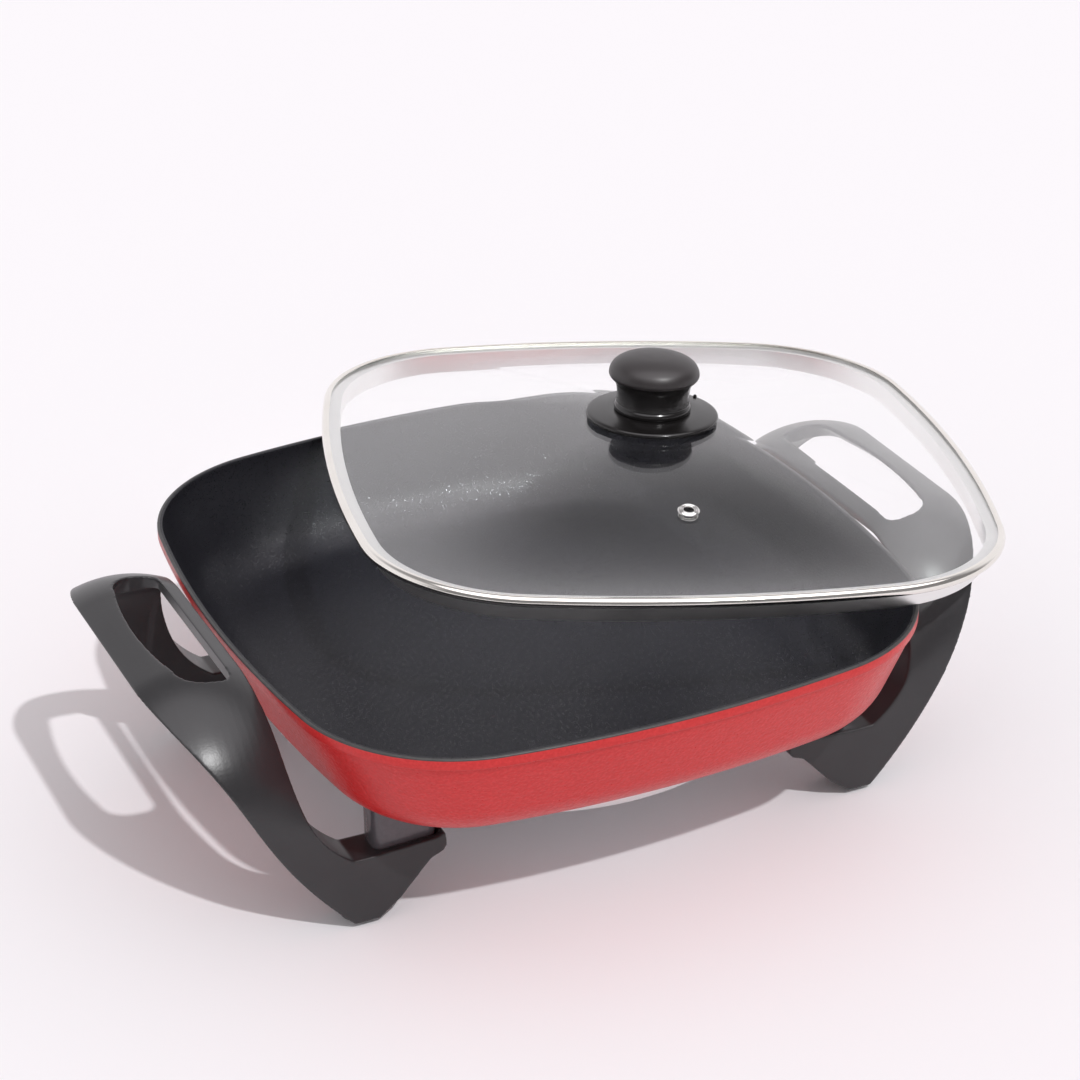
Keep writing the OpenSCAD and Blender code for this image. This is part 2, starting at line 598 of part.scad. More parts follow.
// ---- Lid, in its own frame: z = 0 is the middle of the bead --------------------------------
glass_in = bead_over - band_t - 0.4;         // growth of the glass's edge
glass_base = -bead_half + band_t + fit;      // underside of the glass at its edge
function dome(s) = dome_rise * pow(1 - min(s, 1) * min(s, 1), dome_power);
dome_steps = [1, 0.95, 0.88, 0.8, 0.7, 0.58, 0.45, 0.3, 0.16, 0.02];
skirt_bottom = -bead_half - skirt_h;

module glass_blank() {
    under = [for (s = dome_steps) [glass_in, s, glass_base + dome(s)]];
    over = [for (s = dome_steps) [glass_in, s, glass_base + glass_t + dome(s)]];
    ring_loft(concat(reversed(under), over));
}

// ---- Where the lid comes to rest ------------------------------------------------------------
// The skirt crosses the pan's rim twice, and the glass leans on the crown of the right grip.
// These three touches set the lid's height and its two slopes.
function lid_plan(p) = [lid_x + p[0] * cos(lid_turn) - p[1] * sin(lid_turn),
                        lid_y + p[0] * sin(lid_turn) + p[1] * cos(lid_turn)];
function lid_local(q) = let(d = q - [lid_x, lid_y])
    [d[0] * cos(lid_turn) + d[1] * sin(lid_turn), -d[0] * sin(lid_turn) + d[1] * cos(lid_turn)];
skirt_plan = [for (p = ring_points(-skirt_in)) lid_plan(p)];
skirt_out = [for (p = skirt_plan) out_by(p) + wall_t / 2];
crossings = [for (i = [0:len(skirt_plan) - 1])
    let(j = (i + 1) % len(skirt_plan), a = skirt_out[i], b = skirt_out[j])
    if (a * b < 0) skirt_plan[i] + (skirt_plan[j] - skirt_plan[i]) * a / (a - b)];
front_touch = crossings[0][1] < crossings[1][1] ? crossings[0] : crossings[1];
back_touch = crossings[0][1] < crossings[1][1] ? crossings[1] : crossings[0];
touch_z = rim_z + lid_gap - skirt_bottom;    // height of the bead's middle over a rim touch
touch_line = (back_touch - front_touch) / norm(back_touch - front_touch);
function off_line(q) = let(d = q - front_touch) d[0] * touch_line[1] - d[1] * touch_line[0];

// Share of the way from the lid's centre to its edge at a point of its own plane
function share_of(p, lo = 0, hi = 1.3, n = 14) = n == 0 ? (lo + hi) / 2
    : let(mid = (lo + hi) / 2) out_by(p / max(mid, 0.01)) > glass_in
        ? share_of(p, mid, hi, n - 1) : share_of(p, lo, mid, n - 1);
grip_top = [for (i = [0:7]) for (a = [-24:4:24]) let(x = crown_x - 5 + (handle_reach - crown_in + 5) * i / 7,
        side = a < 0 ? -1 : 1, p = shoulder(x, abs(a))) [x, side * p[0], p[1]],
    for (i = [0:7]) for (k = [-3:3]) let(x = crown_x - 5 + (handle_reach - crown_in + 5) * i / 7)
        [x, shoulder_y * k / 4, grip_z - crown_drop(x)]];
touch_slopes = [for (p = grip_top) let(q = [p[0], p[1]], s = share_of(lid_local(q)))
    if (s < 1) (p[2] + 2 * lid_gap - glass_base - dome(s) - touch_z) / off_line(q)];
lid_fall = max(touch_slopes);                // slope of the lid across the line of rim touches
lid_slope_x = lid_fall * touch_line[1];
lid_slope_y = -lid_fall * touch_line[0];
lid_z = touch_z - lid_slope_x * (front_touch[0] - lid_x) - lid_slope_y * (front_touch[1] - lid_y);
lid_normal = norm([lid_slope_x, lid_slope_y, 1]);

module on_lid() translate([lid_x, lid_y, lid_z]) rotate([atan(lid_slope_y), 0, 0])
    rotate([0, asin(-lid_slope_x / lid_normal), 0]) rotate([0, 0, lid_turn]) children();

glass_top = glass_base + glass_t + dome_rise;
glass_under = glass_base + dome_rise;
vent_share = share_of([0, -vent_y]);
vent_slope = atan((dome(vent_share - 0.01) - dome(vent_share + 0.01)) / 0.02 / (rim_half_y + glass_in));
vent_top = glass_base + glass_t + dome(vent_share);
module at_vent() translate([0, -vent_y, vent_top]) rotate([vent_slope, 0, 0]) children();

module lid_glass() {
    color("lightcyan", 0.4) on_lid() difference() {
        glass_blank();
        cylinder(r = knob_screw_r + 1.5, h = glass_top + 5);
        at_vent() translate([0, 0, -glass_t * 2]) cylinder(r = vent_r - 1.9, h = glass_t * 4, $fn = 32);
    }
}

// Section of the rim band: an outer bead round the glass's edge, its lip over the glass, a flange
// under the glass and a skirt
lip_in = 0.4;                                // how far the lip reaches inside the rim's outline
lip_z = glass_base + glass_t + dome(1 - (glass_in + lip_in) / rim_half_x) + 2 * fit;
module lid_rim() {
    b = bead_half;
    t = band_t;
    g = bead_over;
    color("silver") on_lid() ring_loft([for (p = [
        [g, b / 2 - t], [g, b - 1], [g - 0.8, b], [-lip_in, lip_z + t / 2], [-lip_in, lip_z],
        [glass_in + fit, b - t - fit], [glass_in + fit, -b + t], [-skirt_in - t, -b + t],
        [-skirt_in - t, skirt_bottom], [-skirt_in, skirt_bottom], [-skirt_in, -b], [g - 1, -b], [g, 1 - b]])
        [p[0], 1, p[1]]], closed = true);
}

module vent_eyelet() {
    flange_t = 0.7;
    color("silver") on_lid() at_vent() rotate_extrude($fn = 48) polygon([
        [vent_hole_r, -glass_t - 1.6], [vent_hole_r, 1.2], [vent_r - 1.6, 1.9], [vent_r, 1.1], [vent_r, 0.3],
        [vent_r - 2, 0.3], [vent_r - 2, -glass_t - 0.3], [vent_r - 0.6, -glass_t - 0.3],
        [vent_r - 0.6, -glass_t - 1], [vent_hole_r + 0.5, -glass_t - 1.6]]);
}

// ---- Knob -----------------------------------------------------------------------------------
seal_t = 0.8;
seal_r = 12;
seal_z = glass_under - 2 * (dome_rise - dome(seal_r / rim_half_x)) - seal_t;
base_z = glass_top + seal_t;
base_top = base_z + base_t;
knob_top = base_top + knob_h;

// Flange that sits on the glass: a disc dished to the dome, with a rounded edge and a raised collar
base_low_r = base_r - 2.5;                   // where the flange comes down to the glass
base_dish = seal_t - 3 * fit + dome_rise - dome(base_low_r / (norm(corner_c) + corner_r));
base_edge_z = base_t - 1.9 - base_dish;      // middle of the edge's rounding at its top, over base_z
base_edge_r = 1.5;
module knob_base() {
    color("dimgray") on_lid() difference() {
        translate([0, 0, base_z]) {
            rotate_extrude($fn = 96) polygon(concat(
                [[0, 0], [seal_r + 1, 0], [base_low_r, -base_dish], [base_r - 0.8, 0.3 - base_dish]],
                [for (i = [0:4]) on_arc([base_r - base_edge_r, base_edge_z], base_edge_r, 90 * i / 4)],
                [[waist_r + 2.4, base_t - 0.8], [0, base_t - 0.8]]));
            rotate([0, 0, 35]) translate([base_r - 2.2, 0, base_edge_z]) cylinder(r = 1, h = 3, $fn = 24);
        }
        translate([0, 0, base_z - 1]) cylinder(r = knob_screw_r + fit, h = base_t + 2);
    }
}

knob_foot_z = base_top - 0.8;
function knob_neck(steps) = [for (i = [0:steps]) let(t = i / steps)
    [waist_r + (head_r - waist_r) * 0.96 * pow(t, 2.4), 3.4 + (knob_h * 0.58 - 3.4) * t]];
module knob() {
    color("dimgray") on_lid() translate([0, 0, knob_foot_z]) difference() {
        rotate_extrude($fn = 96) polygon(concat([[0, fit]],
            [[waist_r + 1.7, fit], [waist_r + 1.9, 1], [waist_r + 1.5, 2.1], [waist_r + 0.5, 2.8]],
            knob_neck(6),
            [for (i = [0:8]) let(a = 90 * i / 8)
                [head_r * 0.5 + head_r * 0.5 * cos(a), knob_h * 0.66 + knob_h * 0.27 * sin(a)]],
            [[head_r * 0.25, knob_h * 0.965], [0, knob_h * 0.975]]));
        translate([0, 0, -1]) cylinder(r = knob_screw_r + fit, h = knob_h * 0.5);
    }
}

screw_pan_h = 2.4;
module knob_washer() {
    color("silver") on_lid() translate([0, 0, seal_z - washer_h - fit]) difference() {
        cylinder(r = seal_r - 3, h = washer_h);
        translate([0, 0, -1]) cylinder(r = knob_screw_r + fit, h = washer_h + 2);
    }
}

module knob_seal(z) on_lid() translate([0, 0, z]) difference() {
    cylinder(r = seal_r, h = seal_t - 2 * fit);
    translate([0, 0, -1]) cylinder(r = knob_screw_r + fit, h = seal_t + 2);
}
module knob_seal_lower() { color("white") knob_seal(seal_z); }
module knob_seal_upper() { color("white") knob_seal(glass_top + fit); }

module knob_screw() {
    head_z = seal_z - washer_h - 2 * fit - screw_pan_h;
    color("silver") on_lid() difference() {
        union() {
            translate([0, 0, head_z]) cylinder(r = 2.1 * knob_screw_r, h = screw_pan_h);
            translate([0, 0, head_z]) cylinder(r = knob_screw_r, h = knob_foot_z + knob_h * 0.4 - head_z);
        }
        translate([-0.7, -3.4, head_z - 1]) cube([1.4, 6.8, 2.2]);
        translate([-3.4, -0.7, head_z - 1]) cube([6.8, 1.4, 2.2]);
    }
}

pan_body();
heating_element();
terminal_pins();
inlet_shroud();
inlet_insulator();
probe_tube();
earth_spring();
shroud_screws();
bottom_cover();
cover_screw();
cover_washer();
handle_left();
handle_right();
handle_screws_left();
handle_screws_right();
foot_front_left();
foot_rear_left();
foot_front_right();
foot_rear_right();
lid_glass();
lid_rim();
vent_eyelet();
knob_base();
knob();
knob_screw();
knob_washer();
knob_seal_lower();
knob_seal_upper();
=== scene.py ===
# Electric skillet: a square cast pan on two arched handle-legs, with a domed glass lid that lies
# askew on the rim. Metres, +Z up, in the frame of its solid model.
import bpy, bmesh, math
from math import cos, sin, pi, radians
from mathutils import Matrix, Vector


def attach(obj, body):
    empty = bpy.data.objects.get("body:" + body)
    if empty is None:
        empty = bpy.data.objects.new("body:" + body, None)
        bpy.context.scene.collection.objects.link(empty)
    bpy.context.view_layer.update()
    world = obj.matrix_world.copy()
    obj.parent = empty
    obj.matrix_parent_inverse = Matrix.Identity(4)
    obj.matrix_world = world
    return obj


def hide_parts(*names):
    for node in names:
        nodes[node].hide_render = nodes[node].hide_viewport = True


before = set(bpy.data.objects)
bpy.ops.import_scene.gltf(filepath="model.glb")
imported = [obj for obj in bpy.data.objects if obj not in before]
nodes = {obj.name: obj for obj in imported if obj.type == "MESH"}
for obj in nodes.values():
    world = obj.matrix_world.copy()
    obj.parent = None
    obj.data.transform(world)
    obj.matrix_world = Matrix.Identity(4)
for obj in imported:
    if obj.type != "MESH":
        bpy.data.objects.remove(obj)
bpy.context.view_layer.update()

# ---- Camera -----------------------------------------------------------------------------------
# A long lens at standing height, in front of the left handle, looking down on the pan.
eye = Vector((-0.5524, -1.2038, 0.8132))
ahead = (Vector((0.01265, 0.01131, 0.119)) - eye).normalized()
level = ahead.cross(Vector((0, 0, 1))).normalized()
upright = level.cross(ahead)
roll = radians(0.593)
across = level * cos(roll) - upright * sin(roll)
upward = level * sin(roll) + upright * cos(roll)
camera = bpy.data.objects.new("camera", bpy.data.cameras.new("camera"))
camera.data.sensor_fit = "HORIZONTAL"
camera.data.sensor_width = 36
camera.data.lens = 97.51
camera.matrix_world = Matrix((
    (across.x, upward.x, -ahead.x, eye.x), (across.y, upward.y, -ahead.y, eye.y),
    (across.z, upward.z, -ahead.z, eye.z), (0, 0, 0, 1)))
bpy.context.collection.objects.link(camera)
bpy.context.scene.camera = camera
bpy.context.scene.view_settings.view_transform = "Standard"

# ---- Studio -----------------------------------------------------------------------------------
# A sheet of pale paper on the table, one small key lamp high in front, and soft light from all
# round. Glass and steel mirror a white wall behind, a darker room in front and a lit screen overhead.
def link_up(material, *pairs):
    for a, b in pairs:
        material.node_tree.links.new(a, b)


def new_finish(name):
    """A bare material with its Principled shader."""
    material = bpy.data.materials.new(name)
    material.use_nodes = True
    shader = material.node_tree.nodes["Principled BSDF"]
    return material, shader


def node(owner, kind, **values):
    """A shader node; names that are sockets set the socket, the others set the node."""
    made = owner.node_tree.nodes.new("ShaderNode" + kind)
    for key, value in values.items():
        if hasattr(made, key):
            setattr(made, key, value)
        else:
            made.inputs[key.replace("_", " ")].default_value = value
    return made


def span(owner, low, high, start, end, **kind):
    """A Map Range node that takes low to high over to start to end."""
    return node(owner, "MapRange", From_Min=low, From_Max=high, To_Min=start, To_Max=end, **kind)


def two_tone(owner, dark, light, at=(0.0, 1.0)):
    """A colour ramp between two colours."""
    ramp = node(owner, "ValToRGB")
    for element, place, colour in zip(ramp.color_ramp.elements, at, (dark, light)):
        element.position, element.color = place, (*colour, 1)
    return ramp


soft_step = {"interpolation_type": "SMOOTHSTEP"}
world = bpy.data.worlds.new("studio")
bpy.context.scene.world = world
world.use_nodes = True
path = node(world, "LightPath")
seen = node(world, "Math", operation="MAXIMUM")
mirrored = node(world, "Math", operation="MAXIMUM")
where = node(world, "TexCoord")
split = node(world, "SeparateXYZ")
walls = span(world, 0.45, 0.72, 1.0, 0.35, **soft_step)
rear = span(world, -0.25, 0.25, 0.25, 1.0, **soft_step)
lit_wall = node(world, "Math", operation="MULTIPLY")
leaning = node(world, "Math", operation="MULTIPLY_ADD")
leaning.inputs[1].default_value = -0.5
screen = span(world, 0.62, 0.80, 0.0, 2.1, **soft_step)
high_up = span(world, 0.60, 0.75, 0.0, 1.0, **soft_step)
lit_screen = node(world, "Math", operation="MULTIPLY")
mirrored_room = node(world, "Math", operation="MAXIMUM")
room = node(world, "Background", Strength=0.70)
room.inputs["Color"].default_value = (1.0, 0.985, 0.99, 1)
paper_white = node(world, "Background")
paper_white.inputs["Color"].default_value = (0.985, 0.957, 0.985, 1)
mix = node(world, "MixShader")
world_out = world.node_tree.nodes["World Output"]
link_up(world,
        (path.outputs["Is Glossy Ray"], mirrored.inputs[0]),
        (path.outputs["Is Transmission Ray"], mirrored.inputs[1]),
        (path.outputs["Is Camera Ray"], seen.inputs[0]), (mirrored.outputs[0], seen.inputs[1]),
        (where.outputs["Generated"], split.inputs[0]), (split.outputs["Z"], walls.inputs["Value"]),
        (split.outputs["Y"], rear.inputs["Value"]), (walls.outputs[0], lit_wall.inputs[0]),
        (rear.outputs[0], lit_wall.inputs[1]), (split.outputs["Y"], leaning.inputs[0]),
        (split.outputs["Z"], leaning.inputs[2]), (leaning.outputs[0], screen.inputs["Value"]),
        (split.outputs["Z"], high_up.inputs["Value"]), (high_up.outputs[0], lit_screen.inputs[0]),
        (screen.outputs[0], lit_screen.inputs[1]),
        (lit_wall.outputs[0], mirrored_room.inputs[0]), (lit_screen.outputs[0], mirrored_room.inputs[1]),
        (mirrored_room.outputs[0], paper_white.inputs["Strength"]),
        (seen.outputs[0], mix.inputs[0]), (room.outputs[0], mix.inputs[1]),
        (paper_white.outputs[0], mix.inputs[2]), (mix.outputs[0], world_out.inputs["Surface"]))

paper, shader = new_finish("pale_paper")
shader.inputs["Base Color"].default_value = (0.90, 0.875, 0.905, 1)
shader.inputs["Roughness"].default_value = 0.9
shader.inputs["Specular IOR Level"].default_value = 0.1
bpy.ops.mesh.primitive_plane_add(size=14)
floor = bpy.context.object
floor.name = "floor"
floor.data.materials.append(paper)

key = bpy.data.objects.new("key_lamp", bpy.data.lights.new("key_lamp", "SUN"))
key.data.energy = 1.55
key.data.angle = radians(1.6)
key.rotation_euler = Vector((0.10, -0.60, 0.79)).to_track_quat("Z", "Y").to_euler()
bpy.context.collection.objects.link(key)

# ---- Pan --------------------------------------------------------------------------------------
# One aluminium casting. Outside is a sprayed red enamel that dries in fine blisters but for a plain
# band under the rim; inside is a black non-stick coat whose metal specks lie mostly one way; the
# top of the rim is ground bare.
rim_half = (0.170, 0.1805)
corner_r, side_bow_r, front_bow_r = 0.085, 0.714, 0.611
corner_at = (0.0785861, 0.0895964)
side_end, front_end = radians(8.18921), radians(81.4077)
floor_top_z, underside_z = 0.0645, 0.060
wall_lean = radians(21.8)


def arc(centre, r, start, end, steps, last=False):
    turn = [start + (end - start) * i / steps for i in range(steps + last)]
    return [(centre[0] + r * cos(a), centre[1] + r * sin(a)) for a in turn]


def rim_line(grow):
    """The rim's outline, grown outwards, anticlockwise from +X."""
    q = (arc((rim_half[0] - side_bow_r, 0), side_bow_r + grow, 0, side_end, 10)
         + arc(corner_at, corner_r + grow, side_end, front_end, 30)
         + arc((0, rim_half[1] - front_bow_r), front_bow_r + grow, front_end, pi / 2, 12))
    back = [(0, rim_half[1] + grow)] + [(-x, y) for x, y in reversed(q[1:])]
    half = q + back
    return half + [(-x, -y) for x, y in half]


def mesh_piece(name, verts, faces, finishes, smooth=True):
    """A new object from points and faces; a face is its corners and the number of its finish."""
    mesh = bpy.data.meshes.new(name)
    mesh.from_pydata([tuple(v) for v in verts], [], [f[0] for f in faces])
    for finish in finishes:
        mesh.materials.append(finish)
    for polygon, face in zip(mesh.polygons, faces):
        polygon.material_index = face[1]
        polygon.use_smooth = smooth
    made = bpy.data.objects.new(name, mesh)
    bpy.context.collection.objects.link(made)
    return made


def loft(name, rings, finish_of, finishes, closed=False):
    """Skin through rings of points; an open skin is closed at both ends with a fan."""
    n = len(rings[0])
    verts = [v for r in rings for v in r]
    faces = []
    for i in range(len(rings) if closed else len(rings) - 1):
        a, b = i * n, (i + 1) % len(rings) * n
        for j in range(n):
            k = (j + 1) % n
            faces.append(((a + j, a + k, b + k, b + j), finish_of(i)))
    if not closed:
        for end, first in ((0, 0), (len(rings) - 1, (len(rings) - 1) * n)):
            centre = sum((Vector(v) for v in rings[end]), Vector()) / n
            verts.append(tuple(centre))
            hub = len(verts) - 1
            for j in range(n):
                k = (j + 1) % n
                tri = (hub, first + k, first + j) if end == 0 else (hub, first + j, first + k)
                faces.append((tri, finish_of(0 if end == 0 else len(rings) - 2)))
    return mesh_piece(name, verts, faces, finishes)


def ring(grow, z, scale=1.0):
    return [(x * scale, y * scale, z) for x, y in rim_line(grow)]


heel_r, inner_heel_r = 0.034, 0.0311
flat_in, inner_flat_in = 0.0452182, 0.0443549
floor_shares = (0.04, 0.3, 0.6, 0.85, 0.97)
wall_turns = [(pi / 2 - wall_lean) * i / 14 for i in range(15)]
wall_and_band = [(-0.0083, 0.0947), (-0.0046, 0.1040), (-0.0015, 0.1122), (-0.0014, 0.1127),
                 (-0.0011, 0.1130), (-0.0002, 0.1132), (0, 0.1136), (0, 0.1163), (0, 0.1182)]
bare_edge = [(-0.0001, 0.1187), (-0.0003, 0.11888), (-0.0006, 0.119), (-0.0011, 0.119)]
coated_wall = [(-0.0015, 0.119), (-0.0023, 0.119), (-0.0027, 0.11887), (-0.0029, 0.1184), (-0.0031, 0.1173),
               (-0.0039, 0.113), (-0.0079, 0.103), (-0.0119, 0.093)]
outside = ([ring(-flat_in, underside_z, s) for s in floor_shares]
           + [ring(-(flat_in - heel_r * sin(a)), underside_z + heel_r * (1 - cos(a))) for a in wall_turns]
           + [ring(g, z) for g, z in wall_and_band])
top_edge = [ring(g, z) for g, z in bare_edge]
inside = ([ring(g, z) for g, z in coated_wall]
          + [ring(-(inner_flat_in - inner_heel_r * sin(a)), floor_top_z + inner_heel_r * (1 - cos(a)))
             for a in [(pi / 2 - wall_lean) * (14 - i) / 14 for i in range(15)]]
          + [ring(-inner_flat_in, floor_top_z, s) for s in floor_shares[::-1]])

enamel, shader = new_finish("red_enamel")
place = node(enamel, "TexCoord")
blister = node(enamel, "TexNoise", Scale=640.0, Detail=2.0, Roughness=0.55)
grain = node(enamel, "TexVoronoi", feature="SMOOTH_F1", Scale=520.0)
cloud = node(enamel, "TexNoise", Scale=9.0, Detail=2.0)
height = node(enamel, "SeparateXYZ")
band_low, band_high = 0.1121, 0.1131
plain_band = span(enamel, band_low, band_high, 1.0, 0.1)
speck = two_tone(enamel, (0.52, 0.015, 0.015), (0.60, 0.026, 0.027), (0.40, 0.68))
blend = node(enamel, "MixRGB", blend_type="MULTIPLY")
blend.inputs["Fac"].default_value = 0.5
tone = two_tone(enamel, (0.85, 0.82, 0.82), (1.0, 1.0, 1.0))
sheen = span(enamel, 0.0, 1.0, 0.26, 0.44)
relief = node(enamel, "Math", operation="MULTIPLY")
added = node(enamel, "Math", operation="ADD")
bump = node(enamel, "Bump", Distance=0.00018)
link_up(enamel,
        (place.outputs["Object"], blister.inputs["Vector"]),
        (place.outputs["Object"], grain.inputs["Vector"]),
        (place.outputs["Object"], cloud.inputs["Vector"]), (place.outputs["Object"], height.inputs[0]),
        (height.outputs["Z"], plain_band.inputs["Value"]),
        (blister.outputs["Fac"], speck.inputs["Fac"]), (speck.outputs["Color"], blend.inputs[1]),
        (cloud.outputs["Fac"], tone.inputs["Fac"]), (tone.outputs["Color"], blend.inputs[2]),
        (blend.outputs["Color"], shader.inputs["Base Color"]),
        (grain.outputs["Distance"], sheen.inputs["Value"]), (sheen.outputs[0], shader.inputs["Roughness"]),
        (blister.outputs["Fac"], added.inputs[0]), (grain.outputs["Distance"], added.inputs[1]),
        (added.outputs[0], relief.inputs[0]), (plain_band.outputs[0], relief.inputs[1]),
        (relief.outputs[0], bump.inputs["Height"]), (bump.outputs["Normal"], shader.inputs["Normal"]))
shader.inputs["Specular IOR Level"].default_value = 0.42

bare_rim, shader = new_finish("bare_cast_aluminium")
place = node(bare_rim, "TexCoord")
turned_marks = node(bare_rim, "TexNoise", Scale=260.0, Detail=4.0)
worn = two_tone(bare_rim, (0.035, 0.035, 0.036), (0.095, 0.093, 0.092))
link_up(bare_rim, (place.outputs["Object"], turned_marks.inputs["Vector"]),
        (turned_marks.outputs["Fac"], worn.inputs["Fac"]),
        (worn.outputs["Color"], shader.inputs["Base Color"]))
shader.inputs["Metallic"].default_value = 0.4
shader.inputs["Roughness"].default_value = 0.42

nonstick, shader = new_finish("black_nonstick")
place = node(nonstick, "TexCoord")
flakes = node(nonstick, "TexVoronoi", Scale=1400.0)
core = node(nonstick, "Math", operation="LESS_THAN")
flake_size, flake_from, flake_lean, lie = 0.38, 0.72, 0.42, (1.05, 0.5, 0.5)
core.inputs[1].default_value = flake_size
pick = node(nonstick, "SeparateColor")
some = node(nonstick, "Math", operation="GREATER_THAN")
some.inputs[1].default_value = flake_from
flake = node(nonstick, "Math", operation="MULTIPLY")
centred = node(nonstick, "VectorMath", operation="SUBTRACT")
centred.inputs[1].default_value = lie
lean = node(nonstick, "VectorMath", operation="SCALE")
lean_by = node(nonstick, "Math", operation="MULTIPLY")
lean_by.inputs[1].default_value = flake_lean
shade = node(nonstick, "TexNoise", Scale=14.0, Detail=3.0)
coat = two_tone(nonstick, (0.0088, 0.0086, 0.0120), (0.0138, 0.0135, 0.0180))
specked = node(nonstick, "MixRGB")
specked.inputs[2].default_value = (0.055, 0.055, 0.058, 1)
dull = span(nonstick, 0.0, 1.0, 0.40, 0.22)
pebble = node(nonstick, "TexNoise", Scale=1100.0, Detail=2.0)
bump = node(nonstick, "Bump", Distance=0.000012)
tilted = node(nonstick, "VectorMath", operation="ADD")
unit = node(nonstick, "VectorMath", operation="NORMALIZE")
link_up(nonstick,
        (place.outputs["Object"], flakes.inputs["Vector"]),
        (place.outputs["Object"], shade.inputs["Vector"]),
        (place.outputs["Object"], pebble.inputs["Vector"]),
        (flakes.outputs["Distance"], core.inputs[0]), (flakes.outputs["Color"], pick.inputs[0]),
        (pick.outputs[0], some.inputs[0]), (core.outputs[0], flake.inputs[0]),
        (some.outputs[0], flake.inputs[1]),
        (flakes.outputs["Color"], centred.inputs[0]), (centred.outputs[0], lean.inputs[0]),
        (flake.outputs[0], lean_by.inputs[0]), (lean_by.outputs[0], lean.inputs["Scale"]),
        (shade.outputs["Fac"], coat.inputs["Fac"]), (coat.outputs["Color"], specked.inputs[1]),
        (flake.outputs[0], specked.inputs["Fac"]), (specked.outputs["Color"], shader.inputs["Base Color"]),
        (flake.outputs[0], dull.inputs["Value"]), (dull.outputs[0], shader.inputs["Roughness"]),
        (flake.outputs[0], shader.inputs["Metallic"]),
        (pebble.outputs["Fac"], bump.inputs["Height"]), (bump.outputs["Normal"], tilted.inputs[0]),
        (lean.outputs[0], tilted.inputs[1]), (tilted.outputs[0], unit.inputs[0]),
        (unit.outputs[0], shader.inputs["Normal"]))
shader.inputs["Specular IOR Level"].default_value = 0.30

n_out, n_edge = len(outside), len(outside) + len(top_edge)
pan_shell = loft("pan_shell", outside + top_edge + inside,
                 lambda i: 0 if i < n_out - 1 else (1 if i < n_edge else 2),
                 [enamel, bare_rim, nonstick])
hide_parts("pan_body")
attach(pan_shell, "base")

# ---- Lugs -------------------------------------------------------------------------------------
# Four cast blocks under the pan's corners, enamelled black. The handles' arms are screwed up
# against them.
lug_at, lug_size, lug_z = (0.114, 0.097), (0.033, 0.017), (0.0375, 0.0636)
lug_tree = bpy.data.node_groups.new("four_lugs", "GeometryNodeTree")
for label, kind in (("Reach", "Vector"), ("Width", "Float"), ("Depth", "Float"), ("Corner", "Float"),
                    ("Height", "Float"), ("Finish", "Material")):
    lug_tree.interface.new_socket(label, in_out="INPUT", socket_type="NodeSocket" + kind)
lug_tree.interface.new_socket("Mesh", in_out="OUTPUT", socket_type="NodeSocketGeometry")


def geo(tree, kind, **values):
    made = tree.nodes.new(kind)
    for name, value in values.items():
        if hasattr(made, name):
            setattr(made, name, value)
        else:
            made.inputs[name.replace("_", " ")].default_value = value
    return made


given = geo(lug_tree, "NodeGroupInput")
result = geo(lug_tree, "NodeGroupOutput")
spots = geo(lug_tree, "GeometryNodeMeshGrid", Vertices_X=2, Vertices_Y=2)
reach = geo(lug_tree, "ShaderNodeSeparateXYZ")
block = geo(lug_tree, "GeometryNodeCurvePrimitiveQuadrilateral")
round_off = geo(lug_tree, "GeometryNodeFilletCurve", mode="POLY", Count=6)
fill = geo(lug_tree, "GeometryNodeFillCurve", mode="NGONS")
rise = geo(lug_tree, "GeometryNodeExtrudeMesh", Individual=False)
upward_by = geo(lug_tree, "ShaderNodeCombineXYZ")
base_face = geo(lug_tree, "GeometryNodeFlipFaces")
join = geo(lug_tree, "GeometryNodeJoinGeometry")
weld = geo(lug_tree, "GeometryNodeMergeByDistance")
copies = geo(lug_tree, "GeometryNodeInstanceOnPoints")
realise = geo(lug_tree, "GeometryNodeRealizeInstances")
paint = geo(lug_tree, "GeometryNodeSetMaterial")
for start, end in (
        (given.outputs["Reach"], reach.inputs[0]), (reach.outputs["X"], spots.inputs["Size X"]),
        (reach.outputs["Y"], spots.inputs["Size Y"]), (given.outputs["Width"], block.inputs["Width"]),
        (given.outputs["Depth"], block.inputs["Height"]), (block.outputs["Curve"], round_off.inputs["Curve"]),
        (given.outputs["Corner"], round_off.inputs["Radius"]),
        (round_off.outputs["Curve"], fill.inputs["Curve"]), (fill.outputs["Mesh"], rise.inputs["Mesh"]),
        (given.outputs["Height"], upward_by.inputs["Z"]), (upward_by.outputs[0], rise.inputs["Offset"]),
        (fill.outputs["Mesh"], base_face.inputs["Mesh"]), (rise.outputs["Mesh"], join.inputs[0]),
        (base_face.outputs["Mesh"], join.inputs[0]), (join.outputs[0], weld.inputs["Geometry"]),
        (spots.outputs["Mesh"], copies.inputs["Points"]), (weld.outputs[0], copies.inputs["Instance"]),
        (copies.outputs[0], realise.inputs[0]), (realise.outputs[0], paint.inputs["Geometry"]),
        (given.outputs["Finish"], paint.inputs["Material"]), (paint.outputs[0], result.inputs[0])):
    lug_tree.links.new(start, end)


